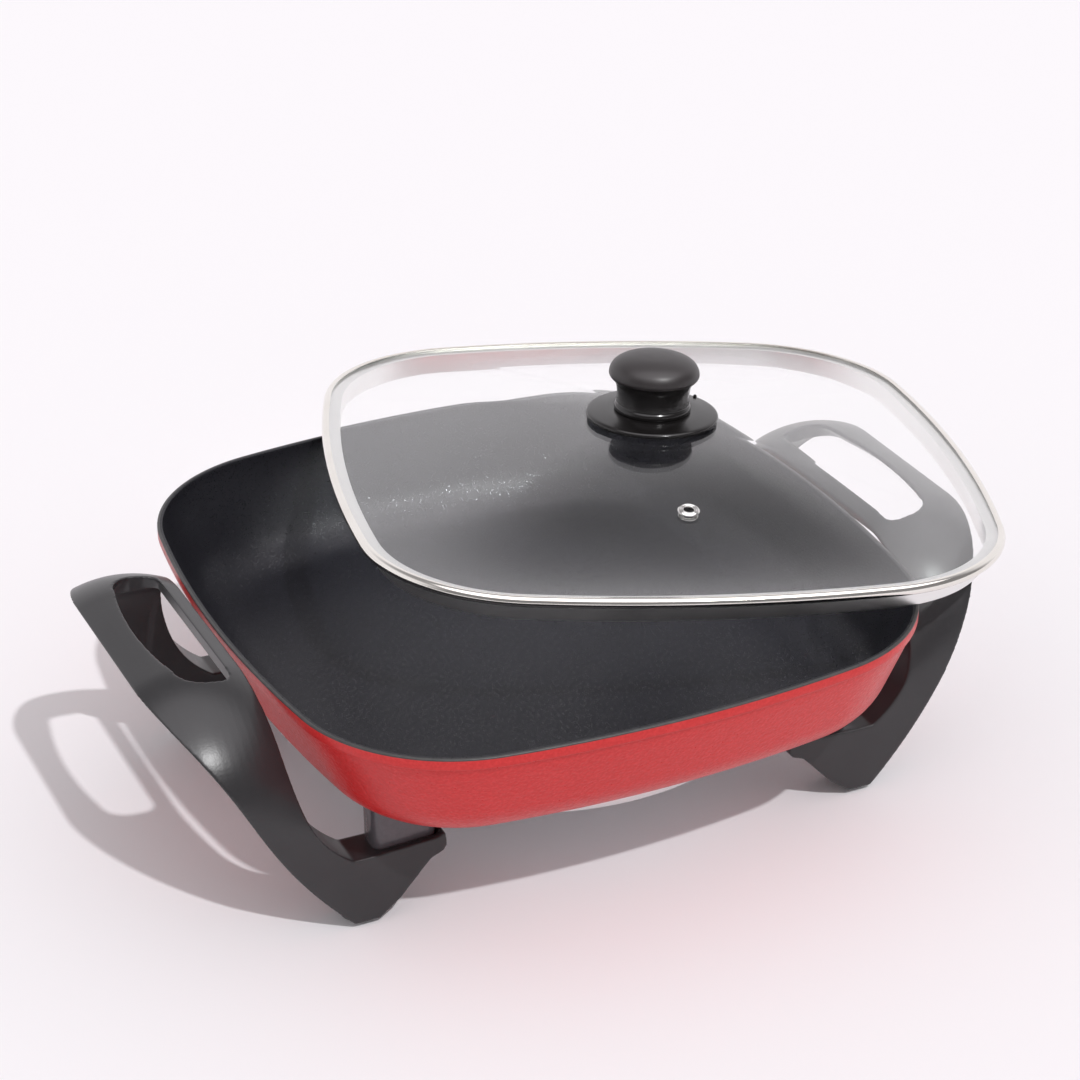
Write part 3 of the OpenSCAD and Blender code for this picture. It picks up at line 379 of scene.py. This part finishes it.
def grow_by_nodes(name, tree, settings):
    """Runs a geometry tree on an empty mesh and returns what it makes as a plain mesh object."""
    seed = bpy.data.objects.new(name + "_seed", bpy.data.meshes.new(name + "_seed"))
    bpy.context.collection.objects.link(seed)
    modifier = seed.modifiers.new("grow", "NODES")
    modifier.node_group = tree
    ids = {item.name: item.identifier for item in tree.interface.items_tree if item.in_out == "INPUT"}
    for label, value in settings.items():
        modifier[ids[label]] = value
    bpy.context.view_layer.update()
    grown = seed.evaluated_get(bpy.context.evaluated_depsgraph_get())
    mesh = bpy.data.meshes.new_from_object(grown)
    bpy.data.objects.remove(seed)
    made = bpy.data.objects.new(name, mesh)
    bpy.context.collection.objects.link(made)
    return made


def tidy_mesh(piece, weld=1e-6, smooth_angle=40):
    """Welds doubles, turns faces outwards and shades smooth but for sharp edges."""
    work = bmesh.new()
    work.from_mesh(piece.data)
    bmesh.ops.remove_doubles(work, verts=work.verts, dist=weld)
    bmesh.ops.recalc_face_normals(work, faces=work.faces)
    for edge in work.edges:
        edge.smooth = len(edge.link_faces) == 2 and edge.calc_face_angle(0) < radians(smooth_angle)
    for face in work.faces:
        face.smooth = True
    work.to_mesh(piece.data)
    work.free()


def soft_edges(piece, width):
    """Rounds a piece's sharp edges."""
    soften = piece.modifiers.new("soft_edges", "BEVEL")
    soften.width, soften.segments = width, 3
    soften.limit_method, soften.angle_limit = "ANGLE", radians(50)


lug_black, shader = new_finish("lug_black_enamel")
place = node(lug_black, "TexCoord")
orange_peel = node(lug_black, "TexNoise", Scale=420.0, Detail=2.0)
bump = node(lug_black, "Bump", Distance=0.00008)
tint = two_tone(lug_black, (0.082, 0.074, 0.083), (0.112, 0.102, 0.112))
link_up(lug_black, (place.outputs["Object"], orange_peel.inputs["Vector"]),
        (orange_peel.outputs["Fac"], bump.inputs["Height"]),
        (bump.outputs["Normal"], shader.inputs["Normal"]),
        (orange_peel.outputs["Fac"], tint.inputs["Fac"]),
        (tint.outputs["Color"], shader.inputs["Base Color"]))
shader.inputs["Roughness"].default_value = 0.15

pan_lugs = grow_by_nodes("pan_lugs", lug_tree, {
    "Reach": (2 * lug_at[0], 2 * lug_at[1], 0), "Width": lug_size[0], "Depth": lug_size[1],
    "Corner": 0.005, "Height": lug_z[1] - lug_z[0], "Finish": lug_black})
for vertex in pan_lugs.data.vertices:
    vertex.co.z += lug_z[0]
tidy_mesh(pan_lugs)
soft_edges(pan_lugs, 0.0008)
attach(pan_lugs, "base")

# ---- Casting under the floor --------------------------------------------------------------------
# Cast on the pan's underside: the grooved ring that the element is rolled into, the boss that holds
# the probe tube, and the post for the cover's screw. Left as cast, with the red overspray.
def turned(name, profile, finish, place=Matrix(), steps=96, start=0.0, sweep=2 * pi):
    """A profile of (radius, height) turned about its axis; ends on the axis close to one point."""
    whole = sweep > 2 * pi - 1e-6
    columns = steps if whole else steps + 1
    verts, rows = [], []
    for r, z in profile:
        if r < 1e-7:
            rows.append([len(verts)] * columns)
            verts.append(place @ Vector((0, 0, z)))
        else:
            rows.append([len(verts) + i for i in range(columns)])
            turns = [start + sweep * i / steps for i in range(columns)]
            verts += [place @ Vector((r * cos(a), r * sin(a), z)) for a in turns]
    faces = []
    for low, high in zip(rows, rows[1:]):
        for i in range(steps):
            j = (i + 1) % columns
            corners = []
            for v in (low[i], low[j], high[j], high[i]):
                if v not in corners:
                    corners.append(v)
            if len(corners) > 2:
                faces.append((corners, 0))
    if not whole:
        for i in (0, steps):
            faces.append(([row[i] for row in rows[:-1]], 0))
    return mesh_piece(name, verts, faces, [finish])


def apply_modifiers(piece):
    """Turns a piece's modifiers into its mesh."""
    done = bpy.data.meshes.new_from_object(piece.evaluated_get(bpy.context.evaluated_depsgraph_get()))
    piece.modifiers.clear()
    piece.data = done


def cut(piece, tool, operation="DIFFERENCE"):
    """One boolean step; the tool is used up."""
    step = piece.modifiers.new("cut", "BOOLEAN")
    step.object, step.operation, step.solver = tool, operation, "EXACT"
    bpy.context.view_layer.update()
    apply_modifiers(piece)
    bpy.data.objects.remove(tool)


def along_x(x, y, z):
    return Matrix.Translation((x, y, z)) @ Matrix.Rotation(pi / 2, 4, "Y")


def box_piece(name, low, high, finish):
    verts = [(x, y, z) for x in (low[0], high[0]) for y in (low[1], high[1])
             for z in (low[2], high[2])]
    faces = [(0, 1, 3, 2), (4, 6, 7, 5), (0, 4, 5, 1), (2, 3, 7, 6), (0, 2, 6, 4), (1, 5, 7, 3)]
    return mesh_piece(name, verts, [(f, 0) for f in faces], [finish])


as_cast, shader = new_finish("cast_aluminium")
place = node(as_cast, "TexCoord")
sand = node(as_cast, "TexNoise", Scale=700.0, Detail=4.0)
overspray = node(as_cast, "TexNoise", Scale=45.0, Detail=3.0)
mist = two_tone(as_cast, (0.42, 0.41, 0.40), (0.42, 0.16, 0.15), (0.35, 0.75))
bump = node(as_cast, "Bump", Distance=0.0002)
link_up(as_cast, (place.outputs["Object"], sand.inputs["Vector"]),
        (place.outputs["Object"], overspray.inputs["Vector"]),
        (overspray.outputs["Fac"], mist.inputs["Fac"]), (mist.outputs["Color"], shader.inputs["Base Color"]),
        (sand.outputs["Fac"], bump.inputs["Height"]), (bump.outputs["Normal"], shader.inputs["Normal"]))
shader.inputs["Metallic"].default_value = 0.6
shader.inputs["Roughness"].default_value = 0.5

ring_r, sheath_z, groove_r = 0.088, 0.052, 0.00345
rib_half, rib_low, rib_top = 0.008, 0.051, underside_z + 0.0015
rib_from, rib_sweep = radians(15), radians(330)
groove = [(ring_r + groove_r, rib_low), (ring_r + groove_r, sheath_z)] + [
    (ring_r + groove_r * cos(a), sheath_z + groove_r * sin(a)) for a in [pi * i / 10 for i in range(1, 10)]
] + [(ring_r - groove_r, sheath_z), (ring_r - groove_r, rib_low)]
rib_profile = ([(ring_r - rib_half, rib_top), (ring_r - rib_half, rib_low)] + groove[::-1]
               + [(ring_r + rib_half, rib_low), (ring_r + rib_half, rib_top), (ring_r - rib_half, rib_top)])
element_rib = turned("element_rib", rib_profile, as_cast, steps=120, start=rib_from, sweep=rib_sweep)
probe_boss = box_piece("probe_boss", (0.052, -0.0095, 0.045), (0.068, 0.0095, 0.0615), as_cast)
probe_hole_r, post_hole_r = 0.00455, 0.00205
cut(probe_boss, turned("bore", [(0, -0.01), (probe_hole_r, -0.01), (probe_hole_r, 0.03), (0, 0.03)], as_cast,
                       along_x(0.05, 0, sheath_z), steps=48))
cover_post = turned("cover_post", [(0, 0.058), (post_hole_r, 0.058), (post_hole_r, 0.0429), (0.007, 0.0429),
                                   (0.0074, 0.059), (0.0074, 0.0612), (0, 0.0612)], as_cast, steps=48)
for piece in (element_rib, probe_boss, cover_post):
    tidy_mesh(piece)
    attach(piece, "base")
soft_edges(probe_boss, 0.001)

# ---- Heating element, pins and inlet --------------------------------------------------------------
# A steel-sheathed element ring rolled into its groove, with nickel-plated pins at its cold ends.
# The pins stand in a folded steel shroud behind a ceramic block, round the thermostat's probe tube.
def metal(name, dark, light, roughness, grain_scale, grain_depth=0.00004, metallic=1.0):
    """A metal whose tone wavers between two greys, with a fine grain."""
    finish, shader = new_finish(name)
    place = node(finish, "TexCoord")
    waver = node(finish, "TexNoise", Scale=grain_scale * 0.2, Detail=3.0)
    grain = node(finish, "TexNoise", Scale=grain_scale, Detail=2.0)
    tone = two_tone(finish, dark, light)
    dull = span(finish, 0.0, 1.0, roughness * 0.8, roughness * 1.25)
    bump = node(finish, "Bump", Distance=grain_depth)
    link_up(finish, (place.outputs["Object"], waver.inputs["Vector"]),
            (place.outputs["Object"], grain.inputs["Vector"]),
            (waver.outputs["Fac"], tone.inputs["Fac"]), (tone.outputs["Color"], shader.inputs["Base Color"]),
            (waver.outputs["Fac"], dull.inputs["Value"]), (dull.outputs[0], shader.inputs["Roughness"]),
            (grain.outputs["Fac"], bump.inputs["Height"]), (bump.outputs["Normal"], shader.inputs["Normal"]))
    shader.inputs["Metallic"].default_value = metallic
    return finish


def dress(finish, *names):
    """Gives CAD nodes their finish; their shape stays as it is."""
    for name in names:
        for slot in nodes[name].material_slots:
            slot.material = finish


def dull_solid(name, dark, light, roughness, grain_scale, grain_depth):
    """A non-metal with a faint grain."""
    return metal(name, dark, light, roughness, grain_scale, grain_depth, metallic=0.0)


dress(metal("element_sheath", (0.16, 0.15, 0.14), (0.30, 0.29, 0.27), 0.45, 500), "heating_element")
dress(metal("nickel_plate", (0.62, 0.59, 0.54), (0.74, 0.71, 0.66), 0.16, 900, 0.00001), "terminal_pins")
dress(metal("zinc_sheet", (0.45, 0.46, 0.48), (0.60, 0.61, 0.63), 0.34, 350, 0.00003), "inlet_shroud")
dress(dull_solid("steatite", (0.62, 0.58, 0.50), (0.72, 0.69, 0.61), 0.55, 600, 0.00006), "inlet_insulator")
dress(metal("probe_steel", (0.46, 0.45, 0.43), (0.58, 0.57, 0.55), 0.28, 500, 0.00002), "probe_tube")
dress(metal("spring_brass", (0.62, 0.43, 0.16), (0.75, 0.55, 0.24), 0.25, 600, 0.00001), "earth_spring")
screw_steel = metal("zinc_plated_steel", (0.50, 0.50, 0.50), (0.66, 0.65, 0.62), 0.27, 700, 0.00002)
dress(screw_steel, "shroud_screws", "cover_screw", "cover_washer", "handle_screws_left",
      "handle_screws_right", "knob_screw", "knob_washer")

# ---- Bottom cover ---------------------------------------------------------------------------------
# A shallow dish of polished aluminium sheet, spun and held under the pan by one screw.
polished = metal("polished_aluminium", (0.70, 0.70, 0.70), (0.80, 0.80, 0.80), 0.15, 240, 0.00002)
dress(polished, "bottom_cover")

# ---- Handles --------------------------------------------------------------------------------------
# Two arched handles moulded in black satin plastic. Each is grip, two legs and two arms in one, with
# a crown along the grip; the arms are screwed up to the lugs, and each arm's lip closes round its lug.
half_y, shoulder_r, grip_z, grip_t = 0.110, 0.068, 0.1258, 0.010
crown_r, crown_x, crown_up = 0.064, 0.200, 0.0022
leg_bottom, leg_inside_y, inner_shoulder_r = 0.0025, 0.088, 0.038
arm_top, arm_tip = 0.0375, 0.0945
grip_out, bow_r = 0.2272, 0.765645
slot_in, slot_mid, slot_bow_r, slot_half = 0.180, 0.2096, 0.221, 0.058
slot_out, slot_corners = 0.204993, (0.00743, 0.013112)


def bend(points, steps):
    """Points along a cubic Bezier curve."""
    out = []
    for i in range(steps + 1):
        t = i / steps
        w = ((1 - t) ** 3, 3 * t * (1 - t) ** 2, 3 * t * t * (1 - t), t ** 3)
        out.append(tuple(sum(wi * p[k] for wi, p in zip(w, points)) for k in (0, 1)))
    return out


def bow(mid, r, y):
    return mid - r + math.sqrt(r * r - y * y)


def prism(name, outline, finish, axis, low, high):
    """A straight prism of an outline, along X, Y or Z."""
    def at(p, h):
        return {"X": (h, p[0], p[1]), "Y": (p[0], h, p[1]), "Z": (p[0], p[1], h)}[axis]
    n = len(outline)
    verts = [at(p, low) for p in outline] + [at(p, high) for p in outline]
    faces = [(tuple(range(n)), 0), (tuple(range(2 * n - 1, n - 1, -1)), 0)]
    faces += [((i, (i + 1) % n, n + (i + 1) % n, n + i), 0) for i in range(n)]
    made = mesh_piece(name, verts, faces, [finish])
    tidy_mesh(made)
    return made


def crown_drop(x):
    """How far the grip's top lies under its crown line; the fall is a circle's, across the width."""
    d = max(-0.6 * crown_r, min(x - crown_x, 0.6 * crown_r))
    return crown_r - math.sqrt(crown_r * crown_r - d * d)


def over_arch(x, steps=40):
    """The arch's outside at one x, from the rear foot over the grip to the front foot."""
    rear = []
    for i in range(steps + 1):
        a = 90 * (steps - i) / steps
        t = max(0, (a - 50) / 40)
        r = shoulder_r + (crown_up - crown_drop(x)) * (1 - t * t * (3 - 2 * t))
        rear.append((half_y - shoulder_r + r * sin(radians(a)),
                     grip_z - shoulder_r - crown_up + r * cos(radians(a))))
    return ([(x, -half_y, 0.0015), (x, half_y, 0.0015)] + [(x, y, z) for y, z in rear]
            + [(x, -y, z) for y, z in reversed(rear)])


def under_arch(inside_y, r, top, steps=36):
    turns = [pi / 2 * i / steps for i in range(steps + 1)]
    half = [(inside_y - r + r * cos(a), top - r + r * sin(a)) for a in turns]
    return [(inside_y, -0.005)] + half + [(-y, z) for y, z in reversed(half)] + [(-inside_y, -0.005)]


def slot_line(inset):
    """The finger slot's outline, a little smaller all round."""
    low, high, (r_in, r_out) = slot_in + inset, slot_out - inset, slot_corners
    end, bow_end = slot_half - inset, slot_half - r_out
    along = [bow_end * i / 16 for i in range(-16, 17)]
    return ([(bow(slot_mid - inset, slot_bow_r, y), y) for y in along]
            + arc((high - r_out + inset, bow_end), r_out - inset, 0, pi / 2, 10)[1:]
            + arc((low + r_in - inset, end - r_in + inset), r_in - inset, pi / 2, pi, 8, True)
            + arc((low + r_in - inset, r_in - inset - end), r_in - inset, pi, 1.5 * pi, 8, True)
            + arc((high - r_out + inset, -bow_end), r_out - inset, 1.5 * pi, 2 * pi, 10))


satin, shader = new_finish("black_satin_plastic")
place = node(satin, "TexCoord")
leather = node(satin, "TexNoise", Scale=900.0, Detail=2.0)
handling = node(satin, "TexNoise", Scale=38.0, Detail=4.0, Roughness=0.6)
rub = span(satin, 0.0, 1.0, 0.26, 0.38)
tint = two_tone(satin, (0.017, 0.016, 0.018), (0.030, 0.029, 0.031))
bump = node(satin, "Bump", Distance=0.00003)
link_up(satin, (place.outputs["Object"], leather.inputs["Vector"]),
        (place.outputs["Object"], handling.inputs["Vector"]),
        (handling.outputs["Fac"], rub.inputs["Value"]), (rub.outputs[0], shader.inputs["Roughness"]),
        (handling.outputs["Fac"], tint.inputs["Fac"]),
        (tint.outputs["Color"], shader.inputs["Base Color"]),
        (leather.outputs["Fac"], bump.inputs["Height"]), (bump.outputs["Normal"], shader.inputs["Normal"]))

sections = [over_arch(0.0895 + 0.0041 * i) for i in range(37)]
handle_right = loft("handle_right_moulding", sections, lambda i: 0, [satin])
tidy_mesh(handle_right)
outer_curve = bend([(0.232, 0.1268), (0.1869, 0.0846), (0.1963, 0.0568), (0.1435, leg_bottom)], 60)
inner_curve = bend([(0.1732, 0.1268), (0.1662, 0.0876), (0.1738, 0.059), (0.141, arm_top)], 50)
from_front = (outer_curve + [(0.1305, leg_bottom), (0.1195, 0.011), (0.103, 0.029), (0.0965, 0.0315),
                             (arm_tip, 0.0345), (0.095, arm_top)] + inner_curve[::-1][1:])
cut(handle_right, prism("front", from_front, satin, "Y", -0.115, 0.115), "INTERSECT")
from_above = ([(bow(grip_out, bow_r, y), y) for y in [half_y * 1.01 * i / 40 for i in range(-40, 41)]]
              + [(0.05, 0.1111), (0.05, -0.1111)])
cut(handle_right, prism("above", from_above, satin, "Z", -0.01, 0.14), "INTERSECT")
lip_low, lip_inside_y, tip_inside_y = 0.0345, 0.1058, 0.089
lip_top = [(0.148, 0.0387), (0.138, 0.0384), (0.0995, 0.0402), (0.0965, 0.0417), (0.095, 0.0414),
           (arm_tip, lip_low)]
tip_line = [(0.0967, lip_low), (0.0967, 0.0416)] + lip_top[3:]
for side in (-1, 1):
    low, high = sorted((side * lip_inside_y, side * half_y))
    cut(handle_right, prism("arm_lip", [(0.148, lip_low)] + lip_top, satin, "Y", low, high), "UNION")
    low, high = sorted((side * tip_inside_y, side * half_y))
    cut(handle_right, prism("arm_end", tip_line, satin, "Y", low, high), "UNION")
arch = under_arch(leg_inside_y, inner_shoulder_r, grip_z - grip_t)
cut(handle_right, prism("under", arch, satin, "X", 0.05, 0.25))
slot_step, slot_narrows, slot_lip, flare_out = 0.0046, 0.0011, 0.0016, 0.0104
cut(handle_right, prism("slot", slot_line(0.0), satin, "Z", grip_z - slot_step, 0.14))
cut(handle_right, prism("slot_below", slot_line(slot_narrows), satin, "Z", 0.10, 0.13))
hollow = []
for out_by, z in ((flare_out, grip_z - grip_t - 0.001), (0.0, grip_z - crown_drop(slot_mid) - slot_lip)):
    line = slot_line(0.0)
    row = []
    for k, (x, y) in enumerate(line):
        ahead_of, behind = Vector(line[(k + 1) % len(line)]), Vector(line[k - 1])
        outward = Vector((ahead_of.y - behind.y, behind.x - ahead_of.x)).normalized()
        push = out_by * max(0.0, outward.x) ** 1.5
        row.append((x + outward.x * push, y + outward.y * push, z))
    hollow.append(row)
flare = loft("flare", hollow, lambda i: 0, [satin])
tidy_mesh(flare)
cut(handle_right, flare)
head_hole_r, head_hole_top, shank_hole_r = 0.0049, 0.0295, 0.00275
foot_x, foot_seat_r, foot_seat_top = 0.139, 0.00705, 0.0045
screw_hole = [(0, -0.001), (head_hole_r, -0.001), (head_hole_r, head_hole_top), (shank_hole_r, head_hole_top),
              (shank_hole_r, 0.12), (0, 0.12)]
foot_seat = [(0, -0.001), (foot_seat_r, -0.001), (foot_seat_r, foot_seat_top), (0, foot_seat_top)]
for side in (-1, 1):
    for label, line, x in (("hole", screw_hole, lug_at[0]), ("seat", foot_seat, foot_x)):
        at = Matrix.Translation((x, side * lug_at[1], 0))
        cut(handle_right, turned(label, line, satin, at, steps=40))
skin = handle_right.modifiers.new("skin", "REMESH")
skin.mode, skin.voxel_size, skin.use_smooth_shade = "VOXEL", 0.0006, True
ease = handle_right.modifiers.new("ease", "SMOOTH")
ease.factor, ease.iterations = 0.5, 14
bpy.context.view_layer.update()
apply_modifiers(handle_right)
thin = handle_right.modifiers.new("thin", "DECIMATE")
thin.ratio = 0.36
bpy.context.view_layer.update()
apply_modifiers(handle_right)
handle_right.data.materials.clear()
handle_right.data.materials.append(satin)
for polygon in handle_right.data.polygons:
    polygon.use_smooth, polygon.material_index = True, 0
handle_left = handle_right.copy()
handle_left.name = "handle_left_moulding"
handle_left.data = handle_right.data.copy()
handle_left.data.transform(Matrix.Scale(-1, 4, (1, 0, 0)))
handle_left.data.flip_normals()
bpy.context.collection.objects.link(handle_left)
for piece, name in ((handle_left, "handle_left"), (handle_right, "handle_right")):
    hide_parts(name)
    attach(piece, "base")

# ---- Feet -----------------------------------------------------------------------------------------
# A black rubber button pressed into the bottom of each leg.
dress(dull_solid("black_rubber", (0.018, 0.018, 0.018), (0.030, 0.030, 0.030), 0.62, 900, 0.00006),
      "foot_front_left", "foot_rear_left", "foot_front_right", "foot_rear_right")

# ---- Lid glass ------------------------------------------------------------------------------------
# A sheet of toughened glass sagged to a low dome that runs out flat at its edge, with a ground edge
# inside the rim band and one hole for the vent.
lid_at, tip_back, tip_aside, lid_turn = (0.0975, 0.0535, 0.128234), -2.3582, 4.05705, -16.5
lid = (Matrix.Translation(lid_at) @ Matrix.Rotation(radians(tip_back), 4, "X")
       @ Matrix.Rotation(radians(tip_aside), 4, "Y") @ Matrix.Rotation(radians(lid_turn), 4, "Z"))
glass_grow, glass_base, glass_t, dome_rise = 0.0023, -0.00205, 0.0038, 0.0245


def dome(s):
    return dome_rise * (1 - s * s) ** 1.85


def on_lid(points):
    return [tuple(lid @ Vector(p)) for p in points]


shares = [0.02, 0.05, 0.09, 0.14, 0.2, 0.26, 0.32, 0.38, 0.44, 0.5, 0.56, 0.62, 0.68, 0.74, 0.79, 0.83, 0.87,
          0.9, 0.925, 0.95, 0.97, 0.985]
below = [ring(glass_grow, glass_base + dome(s), s) for s in shares]
above = [ring(glass_grow, glass_base + glass_t + dome(s), s) for s in shares]
edge = [ring(glass_grow - 0.0009, glass_base + 0.0003), ring(glass_grow, glass_base + 0.0010),
        ring(glass_grow, glass_base + glass_t - 0.0010),
        ring(glass_grow - 0.0009, glass_base + glass_t - 0.0001)]
clear, shader = new_finish("clear_lid_glass")
shader.inputs["Base Color"].default_value = (0.991, 0.995, 0.993, 1)
shader.inputs["Roughness"].default_value = 0.0
shader.inputs["IOR"].default_value = 1.5
shader.inputs["Transmission Weight"].default_value = 1.0
rays = node(clear, "LightPath")
through = node(clear, "BsdfTransparent")
through.inputs["Color"].default_value = (0.86, 0.89, 0.88, 1)
pass_light = node(clear, "MixShader")
link_up(clear, (rays.outputs["Is Shadow Ray"], pass_light.inputs[0]),
        (shader.outputs[0], pass_light.inputs[1]), (through.outputs[0], pass_light.inputs[2]),
        (pass_light.outputs[0], clear.node_tree.nodes["Material Output"].inputs["Surface"]))
lid_glass = loft("lid_dome", [on_lid(r) for r in below + edge + above[::-1]], lambda i: 0, [clear])
vent_at = Matrix.Translation((0, -0.103, 0.0138352)) @ Matrix.Rotation(radians(11.4161), 4, "X")
vent_hole_r = 0.0038
drill = turned("drill", [(0, -0.012), (vent_hole_r, -0.012), (vent_hole_r, 0.012), (0, 0.012)], clear,
               lid @ vent_at, steps=40)
tidy_mesh(lid_glass)
tidy_mesh(drill)
cut(lid_glass, drill)
tidy_mesh(lid_glass)
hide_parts("lid_glass")
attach(lid_glass, "lid")

# ---- Rim band -------------------------------------------------------------------------------------
# Stainless strip rolled round the edge of the glass: a polished half-round bead outside, a lip on
# the glass, and a satin underside with a straight skirt that drops inside the pan.
band_line = [(-0.0004, 0.00232), (0.0004, 0.00252), (0.0013, 0.00257), (0.0022, 0.00225), (0.0028, 0.00172),
             (0.0032, 0.0010), (0.00345, 0.0003), (0.0035, -0.0004), (0.00335, -0.0012), (0.0029, -0.0020),
             (0.0022, -0.0026), (0.0014, -0.00288), (0.0004, -0.0029), (-0.0049, -0.0029), (-0.0055, -0.0030),
             (-0.0058, -0.0033), (-0.0059, -0.0039), (-0.0059, -0.0122), (-0.0060, -0.0126),
             (-0.0063, -0.0129), (-0.0066, -0.0126), (-0.0067, -0.0122), (-0.0067, -0.0030),
             (-0.0067, -0.0021), (0.0023, -0.0021), (0.00235, -0.0020), (0.00235, 0.00175), (0.0012, 0.0021),
             (-0.0004, 0.00192)]
mirror_steel = metal("mirror_steel", (0.78, 0.75, 0.69), (0.90, 0.88, 0.84), 0.13, 160, 0.00001)
satin_steel = metal("satin_steel", (0.80, 0.79, 0.78), (0.90, 0.89, 0.88), 0.36, 160, 0.00001)
lid_rim = loft("lid_band", [on_lid(ring(grow, z)) for grow, z in band_line[::-1]],
               lambda i: 1 if 3 <= i <= 13 else 0, [mirror_steel, satin_steel], closed=True)
tidy_mesh(lid_rim)
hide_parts("lid_rim")
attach(lid_rim, "lid")

# ---- Steam vent -----------------------------------------------------------------------------------
# A bright eyelet rolled over on both sides of its hole.
def flow(points, steps=5):
    """A smooth line through points; a point given twice keeps its corner."""
    out = []
    for i in range(len(points) - 1):
        p0, p1 = points[max(i - 1, 0)], points[i]
        p2, p3 = points[i + 1], points[min(i + 2, len(points) - 1)]
        if p1 == p2:
            continue
        for k in range(steps):
            t = k / steps
            out.append(tuple(0.5 * (2 * p1[c] + (p2[c] - p0[c]) * t
                                    + (2 * p0[c] - 5 * p1[c] + 4 * p2[c] - p3[c]) * t * t
                                    + (3 * p1[c] - p0[c] - 3 * p2[c] + p3[c]) * t ** 3) for c in (0, 1)))
    return out + [points[-1]]


chrome = metal("bright_nickel", (0.70, 0.69, 0.67), (0.80, 0.79, 0.77), 0.09, 400, 0.00001)
eyelet_line = flow([(0.0025, -0.0050), (0.0025, -0.0010), (0.0025, 0.0008), (0.0029, 0.0015),
                    (0.0036, 0.0016), (0.0040, 0.0014), (0.0044, 0.0016), (0.0050, 0.0014),
                    (0.0056, 0.0009), (0.0057, 0.0005), (0.0055, 0.00032), (0.0055, 0.00032),
                    (0.0038, 0.00032), (0.0038, 0.00032), (0.0037, -0.0040), (0.0038, -0.0042),
                    (0.0050, -0.0042), (0.0051, -0.0046), (0.0048, -0.0050), (0.0034, -0.0053),
                    (0.0027, -0.0053), (0.0025, -0.0050)], 3)
vent = turned("vent_grommet", eyelet_line[::-1], chrome, lid @ vent_at, steps=64)
tidy_mesh(vent)
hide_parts("vent_eyelet")
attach(vent, "lid")

# ---- Knob -----------------------------------------------------------------------------------------
# A round base plate and a mushroom knob, both moulded in black phenolic and held from below by one
# screw. Plate and waist keep their gloss, the head is duller from handling and its colour is painted
# lighter, a painted highlight for the light its top catches from above; a small moulding pip is left on the
# plate's edge.
def phenolic(name, dark, light, polished, worn_off, shine):
    """Moulded phenolic; its gloss wavers between two roughnesses."""
    finish, shader = new_finish(name)
    place = node(finish, "TexCoord")
    mould = node(finish, "TexNoise", Scale=160.0, Detail=4.0)
    polish = span(finish, 0.0, 1.0, polished, worn_off)
    tint = two_tone(finish, dark, light)
    bump = node(finish, "Bump", Distance=0.00004)
    link_up(finish, (place.outputs["Object"], mould.inputs["Vector"]),
            (mould.outputs["Fac"], polish.inputs["Value"]), (polish.outputs[0], shader.inputs["Roughness"]),
            (mould.outputs["Fac"], tint.inputs["Fac"]), (tint.outputs["Color"], shader.inputs["Base Color"]),
            (mould.outputs["Fac"], bump.inputs["Height"]), (bump.outputs["Normal"], shader.inputs["Normal"]))
    shader.inputs["Specular IOR Level"].default_value = shine
    return finish


gloss_black = phenolic("black_phenolic", (0.006, 0.005, 0.005), (0.011, 0.010, 0.010), 0.14, 0.26, 0.5)
# The head's finish is the same phenolic with a lighter colour: painted light for the brighter top, besides
# the duller roughness.
handled_and_lit_black = phenolic("handled_phenolic_painted_light", (0.019, 0.0155, 0.016), (0.028, 0.0235, 0.0245), 0.36, 0.46, 0.6)
base_z, knob_z, bore_r, head_up = 0.02705, 0.02985, 0.00245, 0.0182
plate_line = ([(bore_r, 0.0), (0.0130, 0.0), (0.0230, -0.0009)]
              + flow([(0.0330, -0.00180), (0.0343, -0.0017), (0.0351, -0.0012), (0.0353, -0.0004),
                      (0.0352, 0.0004), (0.0347, 0.0010), (0.0338, 0.00135), (0.0327, 0.00155)], 4)
              + flow([(0.0300, 0.0019), (0.0250, 0.0025), (0.0217, 0.0027)], 3) + [(bore_r, 0.0027)])
plate_at = lid @ Matrix.Translation((0, 0, base_z))
knob_plate = turned("knob_plate", plate_line + plate_line[:1], gloss_black, plate_at, steps=128)
tidy_mesh(knob_plate)
pip_line = [(0, -0.0002), (0.0011, -0.0002), (0.0010, 0.0022), (0.0007, 0.0027), (0, 0.0028)]
pip_at = plate_at @ Matrix.Rotation(radians(35), 4, "Z") @ Matrix.Translation((0.0331, 0, 0))
pip = turned("pip", pip_line, gloss_black, pip_at, steps=24)
tidy_mesh(pip)
cut(knob_plate, pip, "UNION")
tidy_mesh(knob_plate)
knob_line = ([(bore_r, 0.0126), (bore_r, 0.00005)]
             + flow([(0.0195, 0.00005), (0.0203, 0.0001), (0.0205, 0.0008), (0.0205, 0.0019),
                     (0.0202, 0.0028), (0.0196, 0.0036)], 4)
             + flow([(0.0194, 0.0042), (0.01925, 0.0072), (0.01950, 0.0110), (0.0202, 0.0142),
                     (0.0217, 0.0166), (0.0232, 0.0181), (0.0240, 0.0194), (0.0241, 0.0206),
                     (0.0236, 0.0228), (0.0221, 0.0252), (0.0194, 0.0272), (0.0156, 0.0287),
                     (0.0106, 0.0298), (0.0054, 0.0303), (0.0020, 0.03045)], 5)
             + [(0, 0.03047)])
knob = turned("knob_head", [(0, 0.0126)] + knob_line, gloss_black,
              lid @ Matrix.Translation((0, 0, knob_z)), steps=128)
tidy_mesh(knob)
knob.data.materials.append(handled_and_lit_black)
# Faces above the waist take the head's finish, with its painted highlight colour.
for polygon in knob.data.polygons:
    polygon.material_index = int((lid.inverted() @ polygon.center).z > knob_z + head_up)
for piece, name in ((knob_plate, "knob_base"), (knob, "knob")):
    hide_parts(name)
    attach(piece, "lid")
dress(dull_solid("silicone_seal", (0.62, 0.62, 0.60), (0.70, 0.70, 0.68), 0.5, 500, 0.00003),
      "knob_seal_lower", "knob_seal_upper")
